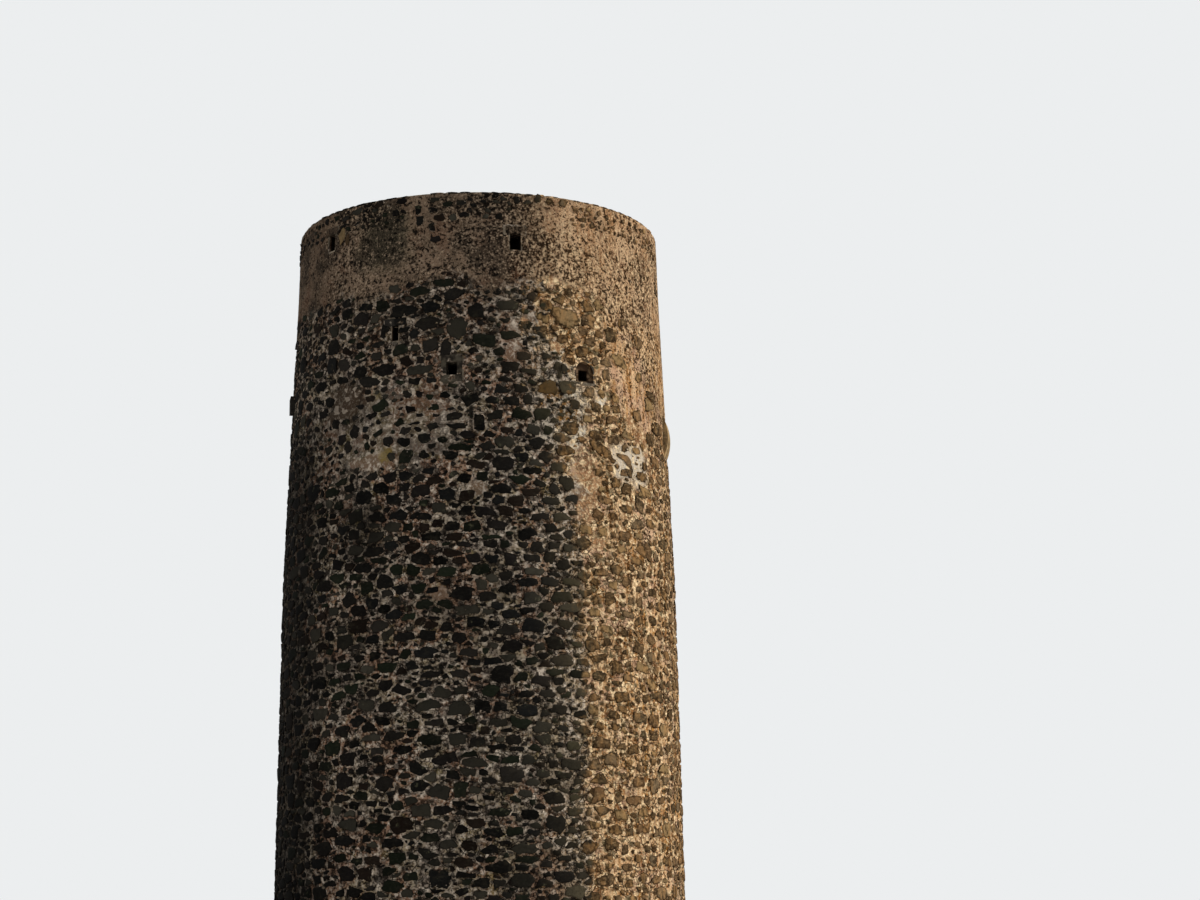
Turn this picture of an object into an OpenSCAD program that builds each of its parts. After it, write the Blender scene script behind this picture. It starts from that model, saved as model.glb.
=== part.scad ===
// Round coastal watchtower of rubble masonry.
// Millimetres, +Z up, origin at the middle of the foot. Bearings are in
// degrees, 0 towards -Y, the seaward front, and growing towards +X.
// The foot is solid. Above it comes a single round chamber under a saucer
// vault, then an open terrace behind a thick parapet with five slots.

/* [Round wall] */
// Outer diameter at the rim
rim_d = 5800; // [5200:50:6600]
// Inward lean of the parapet face in degrees
parapet_lean = 1.5; // [0:0.1:2.5]
// Inward lean of the chamber wall face in degrees
wall_lean = 2.35; // [1:0.05:3.4]
// Inward lean of the solid foot in degrees
foot_lean = 0.8; // [0.3:0.1:2.2]

/* [Solid foot] */
// Height of the solid foot
foot_h = 6400; // [4500:50:7500]
// Height of the top lift of the foot, where the steeper lean starts
top_lift_h = 900; // [600:50:1400]

/* [Chamber] */
// Inner diameter of the chamber
chamber_d = 3400; // [3000:50:3700]
// Thickness of the chamber's floor
floor_t = 100; // [60:10:180]
// Height of the low wall course below the middle openings, above the floor
low_course_h = 1600; // [1450:10:1900]
// Height of the middle course, with two loopholes
middle_course_h = 500; // [460:10:700]
// Height of the high course, with one loophole
high_course_h = 550; // [460:10:750]

/* [Doorway] */
// Clear width of the doorway between its jambs
door_w = 750; // [600:10:850]
// Face width of a jamb stone
jamb_w = 230; // [160:10:280]
// Depth of a jamb stone
jamb_d = 340; // [250:10:450]
// Width of the passage at the chamber
passage_w = 1000; // [920:10:1100]
// Height of the lintel
door_lintel_h = 220; // [160:10:300]
// Depth of the straight rebate behind the jambs
rebate_d = 40; // [20:5:80]

/* [Loopholes] */
// Bearing of the centre loophole
centre_az = -8; // [-10:0.5:-6]
// Clear width of the centre loophole
centre_w = 165; // [120:5:200]
// Clear height of the centre loophole
centre_h = 200; // [150:5:240]
// Face width of the squared stones beside the centre loophole
frame_side = 78; // [60:2:100]
// Height of the sill stone of the centre loophole
frame_sill = 105; // [70:5:120]
// Height of the lintel stone of the centre loophole
frame_head = 105; // [80:5:120]
// Depth of the squared stones
frame_depth = 260; // [200:10:320]
// How far the squared stones stand proud of the round face
frame_proud = 12; // [6:1:25]
// Bearing of the right loophole
right_az = 32.5; // [30:0.5:36]
// Clear width of the right loophole
right_w = 170; // [120:5:200]
// Clear height of the right loophole
right_h = 170; // [130:5:220]
// Sill of the right loophole above the middle course's bed
right_sill = 115; // [90:5:150]
// Width of the round-headed niche around the right loophole
niche_w = 330; // [280:5:380]
// Depth of that niche
niche_depth = 60; // [30:5:110]
// How far the niche reaches below the right loophole's sill
niche_below = 30; // [15:5:60]
// Height of the niche's upright sides
niche_side_h = 160; // [120:5:200]
// Bearing of the high loophole
high_az = -25.5; // [-28:0.5:-23]
// Clear width of the high loophole
high_w = 115; // [90:5:160]
// Clear height of the high loophole
high_h = 240; // [180:5:250]
// Height of the lintel slab over the high loophole
high_lintel_h = 110; // [80:5:120]
// Length of that slab
high_lintel_w = 360; // [280:10:420]
// Width of a loophole at the chamber
splay_w = 420; // [340:10:460]
// Half the bearing that a loophole's bay takes of the wall
loophole_bay = 11; // [10:0.5:12]

/* [Vault] */
// Rise of the saucer vault
vault_rise = 600; // [450:10:800]
// Thickness of the vault
vault_t = 200; // [150:10:250]
// Width of the ledge that the vault springs from
ledge_w = 250; // [200:10:300]

/* [Terrace] */
// Thickness of the terrace paving
deck_t = 100; // [70:10:160]
// Diameter of the round hatch
hatch_d = 650; // [560:10:750]
// Width of the ring stone around the hatch
kerb_w = 200; // [150:10:260]
// How far the ring stone rises above the paving
kerb_up = 100; // [50:10:160]
// Height of the parapet above the paving, with its coping
parapet_h = 1050; // [1020:10:1300]
// Thickness of the coping
coping_t = 120; // [80:5:150]
// Open joint between coping stones
coping_joint = 6; // [3:1:12]

/* [Parapet slots] */
// Clear width of a slot at the outer face
slot_w = 175; // [130:5:220]
// Clear height of a slot
slot_h = 265; // [200:5:300]
// Width of a slot at the terrace
slot_in_w = 380; // [280:10:440]
// Height of the lintel stone over a slot
slot_lintel_h = 110; // [80:5:120]
// Length of that stone
slot_lintel_w = 300; // [260:10:360]
// Depth of that stone
slot_lintel_d = 300; // [220:10:360]
// Half the bearing that a slot's bay takes of the parapet
slot_bay = 8; // [7:0.5:10]
// Bearing of the front slot
slot_front_az = 11; // [5:0.5:17]
// Bearing of the right slot
slot_right_az = 78; // [72:0.5:84]
// Bearing of the first slot on the landward side
slot_back_right_az = 147; // [140:0.5:154]
// Bearing of the second slot on the landward side
slot_back_left_az = 226; // [218:0.5:234]
// Bearing of the left slot
slot_left_az = 307.5; // [301:0.5:314]
// Sill of the usual slots above the paving
slot_sill = 140; // [80:5:180]
// Sill of the right slot above the paving
slot_right_sill = 40; // [20:5:100]
// Sill of the left slot above the paving
slot_left_sill = 430; // [380:5:440]

/* [Projecting stones] */
// Bearing of the block on the left
block_az = -82; // [-86:0.5:-78]
// Height of that block
block_h = 250; // [180:10:280]
// Width of that block
block_w = 340; // [250:10:420]
// How far that block stands out
block_out = 70; // [40:5:100]
// Bed of that block above the middle course's bed
block_sill = 65; // [40:5:100]
// Bearing of the slab on the right
slab_az = 80; // [76:0.5:84]
// Height of that slab
slab_h = 670; // [500:10:750]
// Width of that slab
slab_w = 420; // [320:10:520]
// How far its middle stands out
slab_out = 75; // [45:5:100]
// Head of that slab below the middle course's bed
slab_below = 60; // [30:5:120]
// Depth that projecting stones reach into the wall
bond_depth = 320; // [240:10:400]

/* [Hidden] */
$fn = 240;
ball_fn = 480;
door_az = 180;
cut = 120;

// Levels, each resting on the one below
z_steep = foot_h - top_lift_h;
z_floor = foot_h + floor_t;
z_middle = z_floor + low_course_h;
z_high = z_middle + middle_course_h;
z_spring = z_high + high_course_h;
z_crown = z_spring + vault_rise;
z_bed = z_crown + vault_t;
z_deck = z_bed + deck_t;
z_rim = z_deck + parapet_h;
z_coping = z_rim - coping_t;
lift_h = z_steep / 3;

// Radii of the round wall
chamber_r = chamber_d / 2;
terrace_r = chamber_r + ledge_w;
hatch_r = hatch_d / 2;
kerb_r = hatch_r + kerb_w;
r_rim = rim_d / 2;
r_deck = r_rim + parapet_h * tan(parapet_lean);
r_steep = r_deck + (z_deck - z_steep) * tan(wall_lean);
r_foot = r_steep + z_steep * tan(foot_lean);

// Outer radius of the wall at a height
function face_r(z) =
    z >= z_deck ? r_rim + (z_rim - z) * tan(parapet_lean) :
    z >= z_steep ? r_deck + (z_deck - z) * tan(wall_lean) :
    r_steep + (z_steep - z) * tan(foot_lean);

// The saucer vault is part of a ball
inner_ball = (chamber_r * chamber_r + vault_rise * vault_rise) / (2 * vault_rise);
outer_ball = inner_ball + vault_t;
z_ball = z_crown - inner_ball;
spring_angle = asin(chamber_r / inner_ball);
kerb_angle = asin(kerb_r / outer_ball);

// Slots of the parapet, bearing and sill, in order around the rim
slots = [
    [slot_front_az, slot_sill],
    [slot_right_az, slot_right_sill],
    [slot_back_right_az, slot_sill],
    [slot_back_left_az, slot_sill],
    [slot_left_az, slot_left_sill]
];

// Turn a piece that is drawn facing -Y to a bearing
module at_bearing(az) {
    rotate([0, 0, az])
        children();
}

// Part of the round wall between two bearings and two heights
module wall_sector(az0, az1, z0, z1, inner_r) {
    rotate([0, 0, az0 - 90])
        rotate_extrude(angle = az1 - az0)
            polygon([
                [inner_r, z0],
                [face_r(z0), z0],
                [face_r(z1), z1],
                [inner_r, z1]
            ]);
}

// Way through the wall: parallel at the face, then widening to the inside
module splayed_way(az, z0, h, w, throat, inner_w, inner_r) {
    face = face_r(z0);
    at_bearing(az)
        translate([0, 0, z0])
            linear_extrude(h)
                polygon([
                    [-w / 2, -face - cut],
                    [-w / 2, -face + throat],
                    [-inner_w / 2, -inner_r * cos(asin(inner_w / 2 / inner_r))],
                    [-inner_w / 2, -inner_r + 2 * cut],
                    [inner_w / 2, -inner_r + 2 * cut],
                    [inner_w / 2, -inner_r * cos(asin(inner_w / 2 / inner_r))],
                    [w / 2, -face + throat],
                    [w / 2, -face - cut]
                ]);
}

// Block set into the face of the wall; outer face proud of the round
module face_block(az, z0, h, w, depth, proud) {
    face = face_r(z0 + h / 2);
    at_bearing(az)
        translate([-w / 2, -face - proud, z0])
            cube([w, depth + proud, h]);
}

// Solid foot, raised in lifts
module foot_lift(z0, z1) {
    color("#6b5f54")
        rotate_extrude()
            polygon([
                [0, z0],
                [face_r(z0), z0],
                [face_r(z1), z1],
                [0, z1]
            ]);
}

module foot_lift_1() {
    foot_lift(0, lift_h);
}

module foot_lift_2() {
    foot_lift(lift_h, 2 * lift_h);
}

module foot_lift_3() {
    foot_lift(2 * lift_h, z_steep);
}

module foot_top_lift() {
    foot_lift(z_steep, foot_h);
}

// Paving of the chamber
module chamber_floor() {
    color("#8d8070")
        translate([0, 0, foot_h])
            cylinder(r = chamber_r, h = floor_t);
}

// Plan of the doorway's passage, from jambs to chamber
reveal_w = door_w + 2 * jamb_w;
module passage_plan(outer) {
    face = face_r(z_floor);
    polygon([
        [-door_w / 2, -face - outer],
        [-door_w / 2, -face + jamb_d + rebate_d],
        [-passage_w / 2, -chamber_r * cos(asin(passage_w / 2 / chamber_r))],
        [-passage_w / 2, -chamber_r + 2 * cut],
        [passage_w / 2, -chamber_r + 2 * cut],
        [passage_w / 2, -chamber_r * cos(asin(passage_w / 2 / chamber_r))],
        [door_w / 2, -face + jamb_d + rebate_d],
        [door_w / 2, -face - outer]
    ]);
}

// All that the low course leaves open for the doorway
module doorway_room() {
    at_bearing(door_az)
        translate([0, 0, foot_h - cut])
            linear_extrude(z_middle - foot_h + 2 * cut)
                passage_plan(cut);
    at_bearing(door_az)
        translate([-reveal_w / 2, -face_r(foot_h) - cut, z_floor])
            cube([reveal_w, jamb_d + cut, low_course_h + cut]);
}

// Low course, split beside the doorway
module low_wall(az0, az1) {
    color("#6f6358")
        difference() {
            wall_sector(az0, az1, foot_h, z_middle, chamber_r);
            doorway_room();
            right_slab_room();
        }
}

module low_wall_front() {
    low_wall(-60, 60);
}

module low_wall_right() {
    low_wall(60, door_az);
}

module low_wall_left() {
    low_wall(door_az, 300);
}

// Passage floor at the doorway, level with the chamber's floor
module door_threshold() {
    color("#8d8070")
        intersection() {
            wall_sector(door_az - 40, door_az + 40, foot_h, z_floor, chamber_r);
            at_bearing(door_az)
                translate([0, 0, foot_h - cut])
                    linear_extrude(floor_t + 2 * cut)
                        passage_plan(cut);
        }
}

// Upright stones on both sides of the doorway
module door_jambs() {
    color("#8f8a82")
        intersection() {
            wall_sector(door_az - 30, door_az + 30, z_floor, z_middle, chamber_r);
            at_bearing(door_az)
                for (side = [-1, 1])
                    translate([side * (door_w + jamb_w) / 2 - jamb_w / 2, -face_r(foot_h) - cut, z_floor])
                        cube([jamb_w, jamb_d + cut, low_course_h]);
        }
}

// Lintel over the doorway, resting on both jambs
module door_lintel() {
    color("#8f8a82")
        intersection() {
            wall_sector(door_az - 30, door_az + 30, z_middle, z_middle + door_lintel_h, chamber_r);
            face_block(door_az, z_middle, door_lintel_h, reveal_w, jamb_d, cut);
        }
}

// Middle course: two bays with loopholes and plain wall between them
module centre_loophole_room() {
    splayed_way(centre_az, z_middle + frame_sill, centre_h, centre_w, frame_depth, splay_w, chamber_r);
}

module centre_frame_room() {
    face_block(
        centre_az, z_middle, frame_sill + centre_h + frame_head,
        centre_w + 2 * frame_side, frame_depth, frame_proud
    );
}

module right_loophole_room() {
    splayed_way(right_az, z_middle + right_sill, right_h, right_w, frame_depth, splay_w, chamber_r);
}

// Shallow round-headed niche in the face around the right loophole
module niche_room() {
    foot = z_middle + right_sill - niche_below;
    face = face_r(foot);
    at_bearing(right_az)
        translate([0, -face + niche_depth, foot])
            rotate([90, 0, 0])
                linear_extrude(niche_depth + cut) {
                    translate([-niche_w / 2, 0])
                        square([niche_w, niche_side_h]);
                    translate([0, niche_side_h])
                        intersection() {
                            circle(r = niche_w / 2);
                            translate([-niche_w / 2, 0])
                                square([niche_w, niche_w / 2]);
                        }
                }
}

module centre_loophole_bay() {
    color("#75695c")
        difference() {
            wall_sector(
                centre_az - loophole_bay, centre_az + loophole_bay,
                z_middle, z_high, chamber_r
            );
            centre_loophole_room();
            centre_frame_room();
        }
}

// Squared stones around the mouth of the centre loophole
module centre_loophole_frame() {
    color("#a39c92")
        difference() {
            centre_frame_room();
            centre_loophole_room();
        }
}

module right_loophole_bay() {
    color("#8a6f4f")
        difference() {
            wall_sector(
                right_az - loophole_bay, right_az + loophole_bay,
                z_middle, z_high, chamber_r
            );
            right_loophole_room();
            niche_room();
        }
}

module middle_wall(az0, az1) {
    color("#6f6358")
        difference() {
            wall_sector(az0, az1, z_middle, z_high, chamber_r);
            left_block_room();
        }
}

module middle_wall_front() {
    middle_wall(centre_az + loophole_bay, right_az - loophole_bay);
}

module middle_wall_right() {
    middle_wall(right_az + loophole_bay, 145);
}

// Over the doorway the wall is two beds, the lower one cut by the lintel
module middle_wall_back() {
    color("#6f6358") {
        difference() {
            wall_sector(145, 215, z_middle, z_middle + door_lintel_h, chamber_r);
            face_block(door_az, z_middle - cut, door_lintel_h + 2 * cut, reveal_w, jamb_d, cut);
        }
        wall_sector(145, 215, z_middle + door_lintel_h, z_high, chamber_r);
    }
}

module middle_wall_left() {
    middle_wall(215, 360 + centre_az - loophole_bay);
}

// High course: one bay with a loophole under a slab
high_sill = high_course_h - high_lintel_h - high_h;

module high_loophole_room() {
    splayed_way(high_az, z_high + high_sill, high_h, high_w, frame_depth, splay_w, chamber_r);
}

module high_lintel_room() {
    face_block(
        high_az, z_spring - high_lintel_h, high_lintel_h,
        high_lintel_w, frame_depth, frame_proud
    );
}

module high_loophole_bay() {
    color("#75695c")
        difference() {
            wall_sector(high_az - loophole_bay, high_az + loophole_bay, z_high, z_spring, chamber_r);
            high_loophole_room();
            high_lintel_room();
        }
}

module high_loophole_lintel() {
    color("#4a423b")
        high_lintel_room();
}

module high_wall_right() {
    color("#6f6358")
        wall_sector(high_az + loophole_bay, 155, z_high, z_spring, chamber_r);
}

module high_wall_left() {
    color("#6f6358")
        wall_sector(155, 360 + high_az - loophole_bay, z_high, z_spring, chamber_r);
}

// Wall beside the vault, behind the vault's ledge
module haunch_wall_front() {
    color("#8c7a63")
        wall_sector(-90, 90, z_spring, z_deck, terrace_r);
}

module haunch_wall_back() {
    color("#8c7a63")
        wall_sector(90, 270, z_spring, z_deck, terrace_r);
}

// Shell of the saucer vault in section, as wide as the ledge
module vault_section() {
    intersection() {
        difference() {
            translate([0, z_ball])
                circle(r = outer_ball, $fn = ball_fn);
            translate([0, z_ball])
                circle(r = inner_ball, $fn = ball_fn);
        }
        translate([0, z_spring])
            square([terrace_r, z_bed - z_spring]);
    }
}

// Wedge between two angles from the upright, seen from the ball's middle
module ring_wedge(a0, a1) {
    far = 2 * outer_ball;
    translate([0, z_ball])
        polygon([
            [0, 0],
            [far * sin(a0), far * cos(a0)],
            [far * sin(a1), far * cos(a1)]
        ]);
}

// Ring courses of the vault; their beds point at the ball's middle
module vault_ring(i) {
    step = (spring_angle - kerb_angle) / 3;
    low = i == 0 ? 90 : spring_angle - i * step;
    color("#857462")
        rotate_extrude()
            intersection() {
                vault_section();
                ring_wedge(spring_angle - (i + 1) * step, low);
            }
}

module vault_ring_1() {
    vault_ring(0);
}

module vault_ring_2() {
    vault_ring(1);
}

module vault_ring_3() {
    vault_ring(2);
}

// Ring stone that closes the vault and stands up around the hatch
module hatch_kerb() {
    color("#8f8a82")
        difference() {
            rotate_extrude()
                union() {
                    intersection() {
                        vault_section();
                        ring_wedge(0, kerb_angle);
                    }
                    translate([hatch_r, z_crown + vault_t / 2])
                        square([kerb_w, vault_t / 2 + deck_t + kerb_up]);
                }
            translate([0, 0, z_spring])
                cylinder(r = hatch_r, h = z_rim - z_spring);
        }
}

// Rubble and mortar over the haunches, level for the paving
module haunch_fill() {
    color("#7a6f62")
        rotate_extrude()
            difference() {
                translate([kerb_r, z_spring])
                    square([terrace_r - kerb_r, z_bed - z_spring]);
                translate([0, z_ball])
                    circle(r = outer_ball, $fn = ball_fn);
            }
}

module terrace_paving() {
    color("#9a8c79")
        translate([0, 0, z_bed])
            difference() {
                cylinder(r = terrace_r, h = deck_t);
                translate([0, 0, -cut])
                    cylinder(r = kerb_r, h = deck_t + 2 * cut);
            }
}

// Parapet: five bays with slots and plain wall between them
module slot_room(i) {
    splayed_way(slots[i][0], z_deck + slots[i][1], slot_h, slot_w, slot_lintel_d, slot_in_w, terrace_r);
}

module slot_lintel(i) {
    face_block(
        slots[i][0], z_deck + slots[i][1] + slot_h, slot_lintel_h,
        slot_lintel_w, slot_lintel_d, frame_proud / 2
    );
}

module parapet_bay(i) {
    color("#9a8467")
        difference() {
            wall_sector(
                slots[i][0] - slot_bay, slots[i][0] + slot_bay,
                z_deck, z_coping, terrace_r
            );
            slot_room(i);
            slot_lintel(i);
        }
}

module parapet_wall(i) {
    next = (i + 1) % len(slots);
    turn = next == 0 ? 360 : 0;
    color("#9a8467")
        wall_sector(
            slots[i][0] + slot_bay, slots[next][0] + turn - slot_bay,
            z_deck, z_coping, terrace_r
        );
}

module parapet_bay_front() {
    parapet_bay(0);
}

module parapet_bay_right() {
    parapet_bay(1);
}

module parapet_bay_back_right() {
    parapet_bay(2);
}

module parapet_bay_back_left() {
    parapet_bay(3);
}

module parapet_bay_left() {
    parapet_bay(4);
}

module parapet_wall_front_right() {
    parapet_wall(0);
}

module parapet_wall_right() {
    parapet_wall(1);
}

module parapet_wall_back() {
    parapet_wall(2);
}

module parapet_wall_left() {
    parapet_wall(3);
}

module parapet_wall_front_left() {
    parapet_wall(4);
}

module slot_lintels() {
    color("#4a423b")
        for (i = [0 : len(slots) - 1])
            slot_lintel(i);
}

// Coping stones with open joints halfway between the slots
module coping() {
    half_joint = asin(coping_joint / 2 / terrace_r);
    color("#4f4841")
        for (i = [0 : len(slots) - 1]) {
            next = (i + 1) % len(slots);
            last = (i + len(slots) - 1) % len(slots);
            after = (slots[i][0] + slots[next][0] + (next == 0 ? 360 : 0)) / 2;
            before = (slots[i][0] + slots[last][0] - (i == 0 ? 360 : 0)) / 2;
            wall_sector(before + half_joint, after - half_joint, z_coping, z_rim, terrace_r);
        }
}

// Stones that stand out of the face
module left_block_room() {
    face_block(block_az, z_middle + block_sill, block_h, block_w, bond_depth, block_out);
}

module left_projecting_block() {
    color("#3f3a34")
        left_block_room();
}

// The slab's face is bowed upright
module right_slab_room() {
    z0 = z_middle - slab_below - slab_h;
    face = face_r(z0 + slab_h / 2);
    bow = (slab_h * slab_h / 4 + slab_out * slab_out) / (2 * slab_out);
    at_bearing(slab_az)
        translate([-slab_w / 2, -face, z0])
            rotate([90, 0, 90])
                linear_extrude(slab_w) {
                    square([bond_depth, slab_h]);
                    intersection() {
                        translate([bow - slab_out, slab_h / 2])
                            circle(r = bow);
                        translate([-slab_out, 0])
                            square([slab_out, slab_h]);
                    }
                }
}

module right_projecting_slab() {
    color("#a08a66")
        right_slab_room();
}

foot_lift_1();
foot_lift_2();
foot_lift_3();
foot_top_lift();
chamber_floor();
low_wall_front();
low_wall_right();
low_wall_left();
door_threshold();
door_jambs();
door_lintel();
centre_loophole_bay();
right_loophole_bay();
middle_wall_front();
middle_wall_right();
middle_wall_back();
middle_wall_left();
high_loophole_bay();
high_wall_right();
high_wall_left();
centre_loophole_frame();
high_loophole_lintel();
haunch_wall_front();
haunch_wall_back();
vault_ring_1();
vault_ring_2();
vault_ring_3();
hatch_kerb();
haunch_fill();
terrace_paving();
parapet_bay_front();
parapet_bay_right();
parapet_bay_back_right();
parapet_bay_back_left();
parapet_bay_left();
parapet_wall_front_right();
parapet_wall_right();
parapet_wall_back();
parapet_wall_left();
parapet_wall_front_left();
slot_lintels();
coping();
left_projecting_block();
right_projecting_slab();
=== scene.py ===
# %% [markdown]
# # A round coastal watchtower
#
# The real tower is a slender round drum of dark rubble, laid in pinkish-grey lime mortar. Its head is coated with a
# pitted render, and one side carries an ochre wash. The packed CAD model gives the shell, the vault, the openings and
# the squared stones. This lesson adds what makes it look old: mortar, some six thousand facing stones, render and
# stains. Sunlight and shade are also painted into their colours.

# %% Load the packed model
import math
import random

import bpy
import numpy as np
from mathutils import Matrix, Vector, bvhtree, kdtree, noise


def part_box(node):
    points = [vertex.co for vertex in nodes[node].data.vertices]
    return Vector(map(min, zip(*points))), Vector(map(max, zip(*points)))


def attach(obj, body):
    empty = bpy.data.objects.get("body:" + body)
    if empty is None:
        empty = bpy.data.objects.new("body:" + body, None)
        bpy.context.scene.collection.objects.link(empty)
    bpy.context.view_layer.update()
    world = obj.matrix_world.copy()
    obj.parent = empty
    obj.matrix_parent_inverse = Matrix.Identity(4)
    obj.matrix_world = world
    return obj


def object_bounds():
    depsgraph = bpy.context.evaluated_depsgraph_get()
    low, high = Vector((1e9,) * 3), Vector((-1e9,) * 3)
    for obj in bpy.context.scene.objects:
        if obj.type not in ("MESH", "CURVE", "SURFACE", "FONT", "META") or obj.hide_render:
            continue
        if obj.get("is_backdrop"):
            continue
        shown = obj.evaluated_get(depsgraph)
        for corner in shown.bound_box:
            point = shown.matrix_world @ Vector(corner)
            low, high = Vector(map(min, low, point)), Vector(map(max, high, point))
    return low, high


NOISE_SEED = 11
noise.seed_set(NOISE_SEED)      # without a seed noise_vector takes its shift from the clock

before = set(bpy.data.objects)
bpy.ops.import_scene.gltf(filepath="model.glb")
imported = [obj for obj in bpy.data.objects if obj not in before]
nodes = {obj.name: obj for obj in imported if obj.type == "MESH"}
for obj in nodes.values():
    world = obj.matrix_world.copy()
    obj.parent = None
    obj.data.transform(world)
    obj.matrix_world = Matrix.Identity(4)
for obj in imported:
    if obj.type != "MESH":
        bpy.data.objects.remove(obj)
cad_low, cad_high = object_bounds()
print("nodes:", len(nodes), "box:", [round(v, 3) for v in cad_high - cad_low])

# %% [markdown]
# ## Measure the leaning face
#
# The face leans inward in three stretches: the foot, the chamber wall and the parapet. It could be typed again from
# the drawing, but the packed nodes already hold it, so the widest radius is read at the levels where the lean changes.


# %% Radius of the face at any height
def corners_of(node):
    mesh = nodes[node].data
    corners = np.empty(len(mesh.vertices) * 3)
    mesh.vertices.foreach_get("co", corners)
    return corners.reshape(-1, 3)


def widest(node, level, slack=0.003):
    corners = corners_of(node)
    ring = corners[abs(corners[:, 2] - level) < slack]
    return float(np.hypot(ring[:, 0], ring[:, 1]).max())


z_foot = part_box("foot_lift_1")[0].z
z_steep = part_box("foot_lift_3")[1].z
z_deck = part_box("parapet_wall_back")[0].z
z_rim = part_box("coping")[1].z
lean_levels = [z_foot, z_steep, z_deck, z_rim]
lean_nodes = ["foot_lift_1", "foot_lift_3", "parapet_wall_back", "coping"]
lean_radii = [widest(node, level) for node, level in zip(lean_nodes, lean_levels)]
rim_radius = lean_radii[-1]
terrace_radius = float(np.hypot(*corners_of("parapet_wall_back")[:, :2].T).min())


def face_radius(z):
    return float(np.interp(z, lean_levels, lean_radii))


print("levels:", [round(z, 3) for z in lean_levels])
print("radii:", [round(r, 4) for r in lean_radii], "terrace:", round(terrace_radius, 3))

# %% [markdown]
# ## Camera
#
# The photograph looks up at the tower from about 37 m away, from nearly the height of its foot. The outline of the
# tower and the arc of its rim were fitted with a pinhole camera, and that camera is set here. The frame is 1200 by 900.

# %% Camera from the fit
FRAME_WIDE, FRAME_HIGH, FOCAL_PIXELS = 1200, 900, 2350.0
SENSOR_MM, FAR_CLIP = 36.0, 400.0
CAMERA_PLACE = Vector((0.0, -37.525, 0.056))
TURNED, PITCHED, ROLLED = (math.radians(angle) for angle in (2.994, 11.415, -0.728))

ahead = Vector((math.sin(TURNED) * math.cos(PITCHED), math.cos(TURNED) * math.cos(PITCHED), math.sin(PITCHED)))
level_right = Vector((math.cos(TURNED), -math.sin(TURNED), 0.0))
level_up = level_right.cross(ahead)
right = math.cos(ROLLED) * level_right + math.sin(ROLLED) * level_up
up = math.cos(ROLLED) * level_up - math.sin(ROLLED) * level_right

camera_data = bpy.data.cameras.new("camera")
camera_data.sensor_width = SENSOR_MM
camera_data.lens = SENSOR_MM * FOCAL_PIXELS / FRAME_WIDE
camera_data.clip_end = FAR_CLIP
camera = bpy.data.objects.new("camera", camera_data)
camera.matrix_world = Matrix.Translation(CAMERA_PLACE) @ Matrix((right, up, -ahead)).transposed().to_4x4()
bpy.context.scene.collection.objects.link(camera)
bpy.context.scene.camera = camera
print("lens:", round(camera_data.lens, 2), "mm")

# %% [markdown]
# ## From a pixel to a place on the wall
#
# Stones, stains and the ragged edge of the render are placed where the photograph shows them. A ray goes from the
# camera through the pixel and meets the leaning face. The answer is a bearing, which is 0 at the front and grows to
# the right, and a height. The wall is then unrolled flat at one radius, so that stones can be laid out on a sheet.

# %% Wall coordinates
ROLL_RADIUS = 3.0
GIRTH = 2 * math.pi * ROLL_RADIUS
STONE_LIFT = 0.012              # the surface that shows stands proud of the packed one
ROUNDS = 6                      # the face leans, so its radius where the ray meets it is found step by step


def wall_at(px, py):
    """Bearing in degrees and height in metres of the place that a pixel shows."""
    ray = ahead * FOCAL_PIXELS + right * (px - FRAME_WIDE / 2) - up * (py - FRAME_HIGH / 2)
    radius = ROLL_RADIUS
    for _ in range(ROUNDS):
        a = ray.x ** 2 + ray.y ** 2
        b = CAMERA_PLACE.x * ray.x + CAMERA_PLACE.y * ray.y
        inside = max(0.0, b * b - a * (CAMERA_PLACE.x ** 2 + CAMERA_PLACE.y ** 2 - radius ** 2))
        hit = CAMERA_PLACE + ray * ((-b - math.sqrt(inside)) / a)
        radius = face_radius(hit.z) + STONE_LIFT
    return math.degrees(math.atan2(hit.x, -hit.y)), hit.z


def patch_at(px, py, wide, high):
    """Bearing and height of a box of pixels, and its half width in degrees and half height in metres."""
    bearing, z = wall_at(px, py)
    half_bearing = (wall_at(px + wide / 2, py)[0] - wall_at(px - wide / 2, py)[0]) / 2
    half_high = (wall_at(px, py - high / 2)[1] - wall_at(px, py + high / 2)[1]) / 2
    return bearing, z, half_bearing, half_high


def on_wall(x, z, lift):
    """The place in space of a point on the unrolled wall."""
    bearing, radius = x / ROLL_RADIUS, face_radius(z) + lift
    return (radius * math.sin(bearing), -radius * math.cos(bearing), z)


def unrolled(bearing):
    return math.radians(bearing) * ROLL_RADIUS


print("centre of the picture's wall:", [round(v, 2) for v in wall_at(477, 450)])

# %% [markdown]
# ## Find the openings and the squared stones
#
# Mortar and facing stones stop short of the loopholes, slots and doorway, and of the squared stones that the CAD
# model already has. Instead of typing those places again, rays are shot at the wall on a fine mesh of points. A ray
# that goes deep has found a mouth, and a ray that meets a squared stone has found that stone.

# %% Rays against the packed wall
DRESSED = ("centre_loophole_frame", "high_loophole_lintel", "slot_lintels", "door_jambs", "door_lintel",
           "door_threshold", "left_projecting_block", "right_projecting_slab")
RAY_PITCH, DEEP = 0.025, 0.03
RAY_START, RAY_LENGTH = 0.3, 1.0
RAY_LOWEST, RAY_HEADROOM = 0.01, 0.02
HALF_DIAGONAL = 0.72 * RAY_PITCH

points, triangles, owners = [], [], []
for name, part in nodes.items():
    start = len(points)
    points += [v.co.copy() for v in part.data.vertices]
    for polygon in part.data.polygons:
        triangles.append([start + i for i in polygon.vertices])
        owners.append(name)
shell = bvhtree.BVHTree.FromPolygons(points, triangles)

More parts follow.
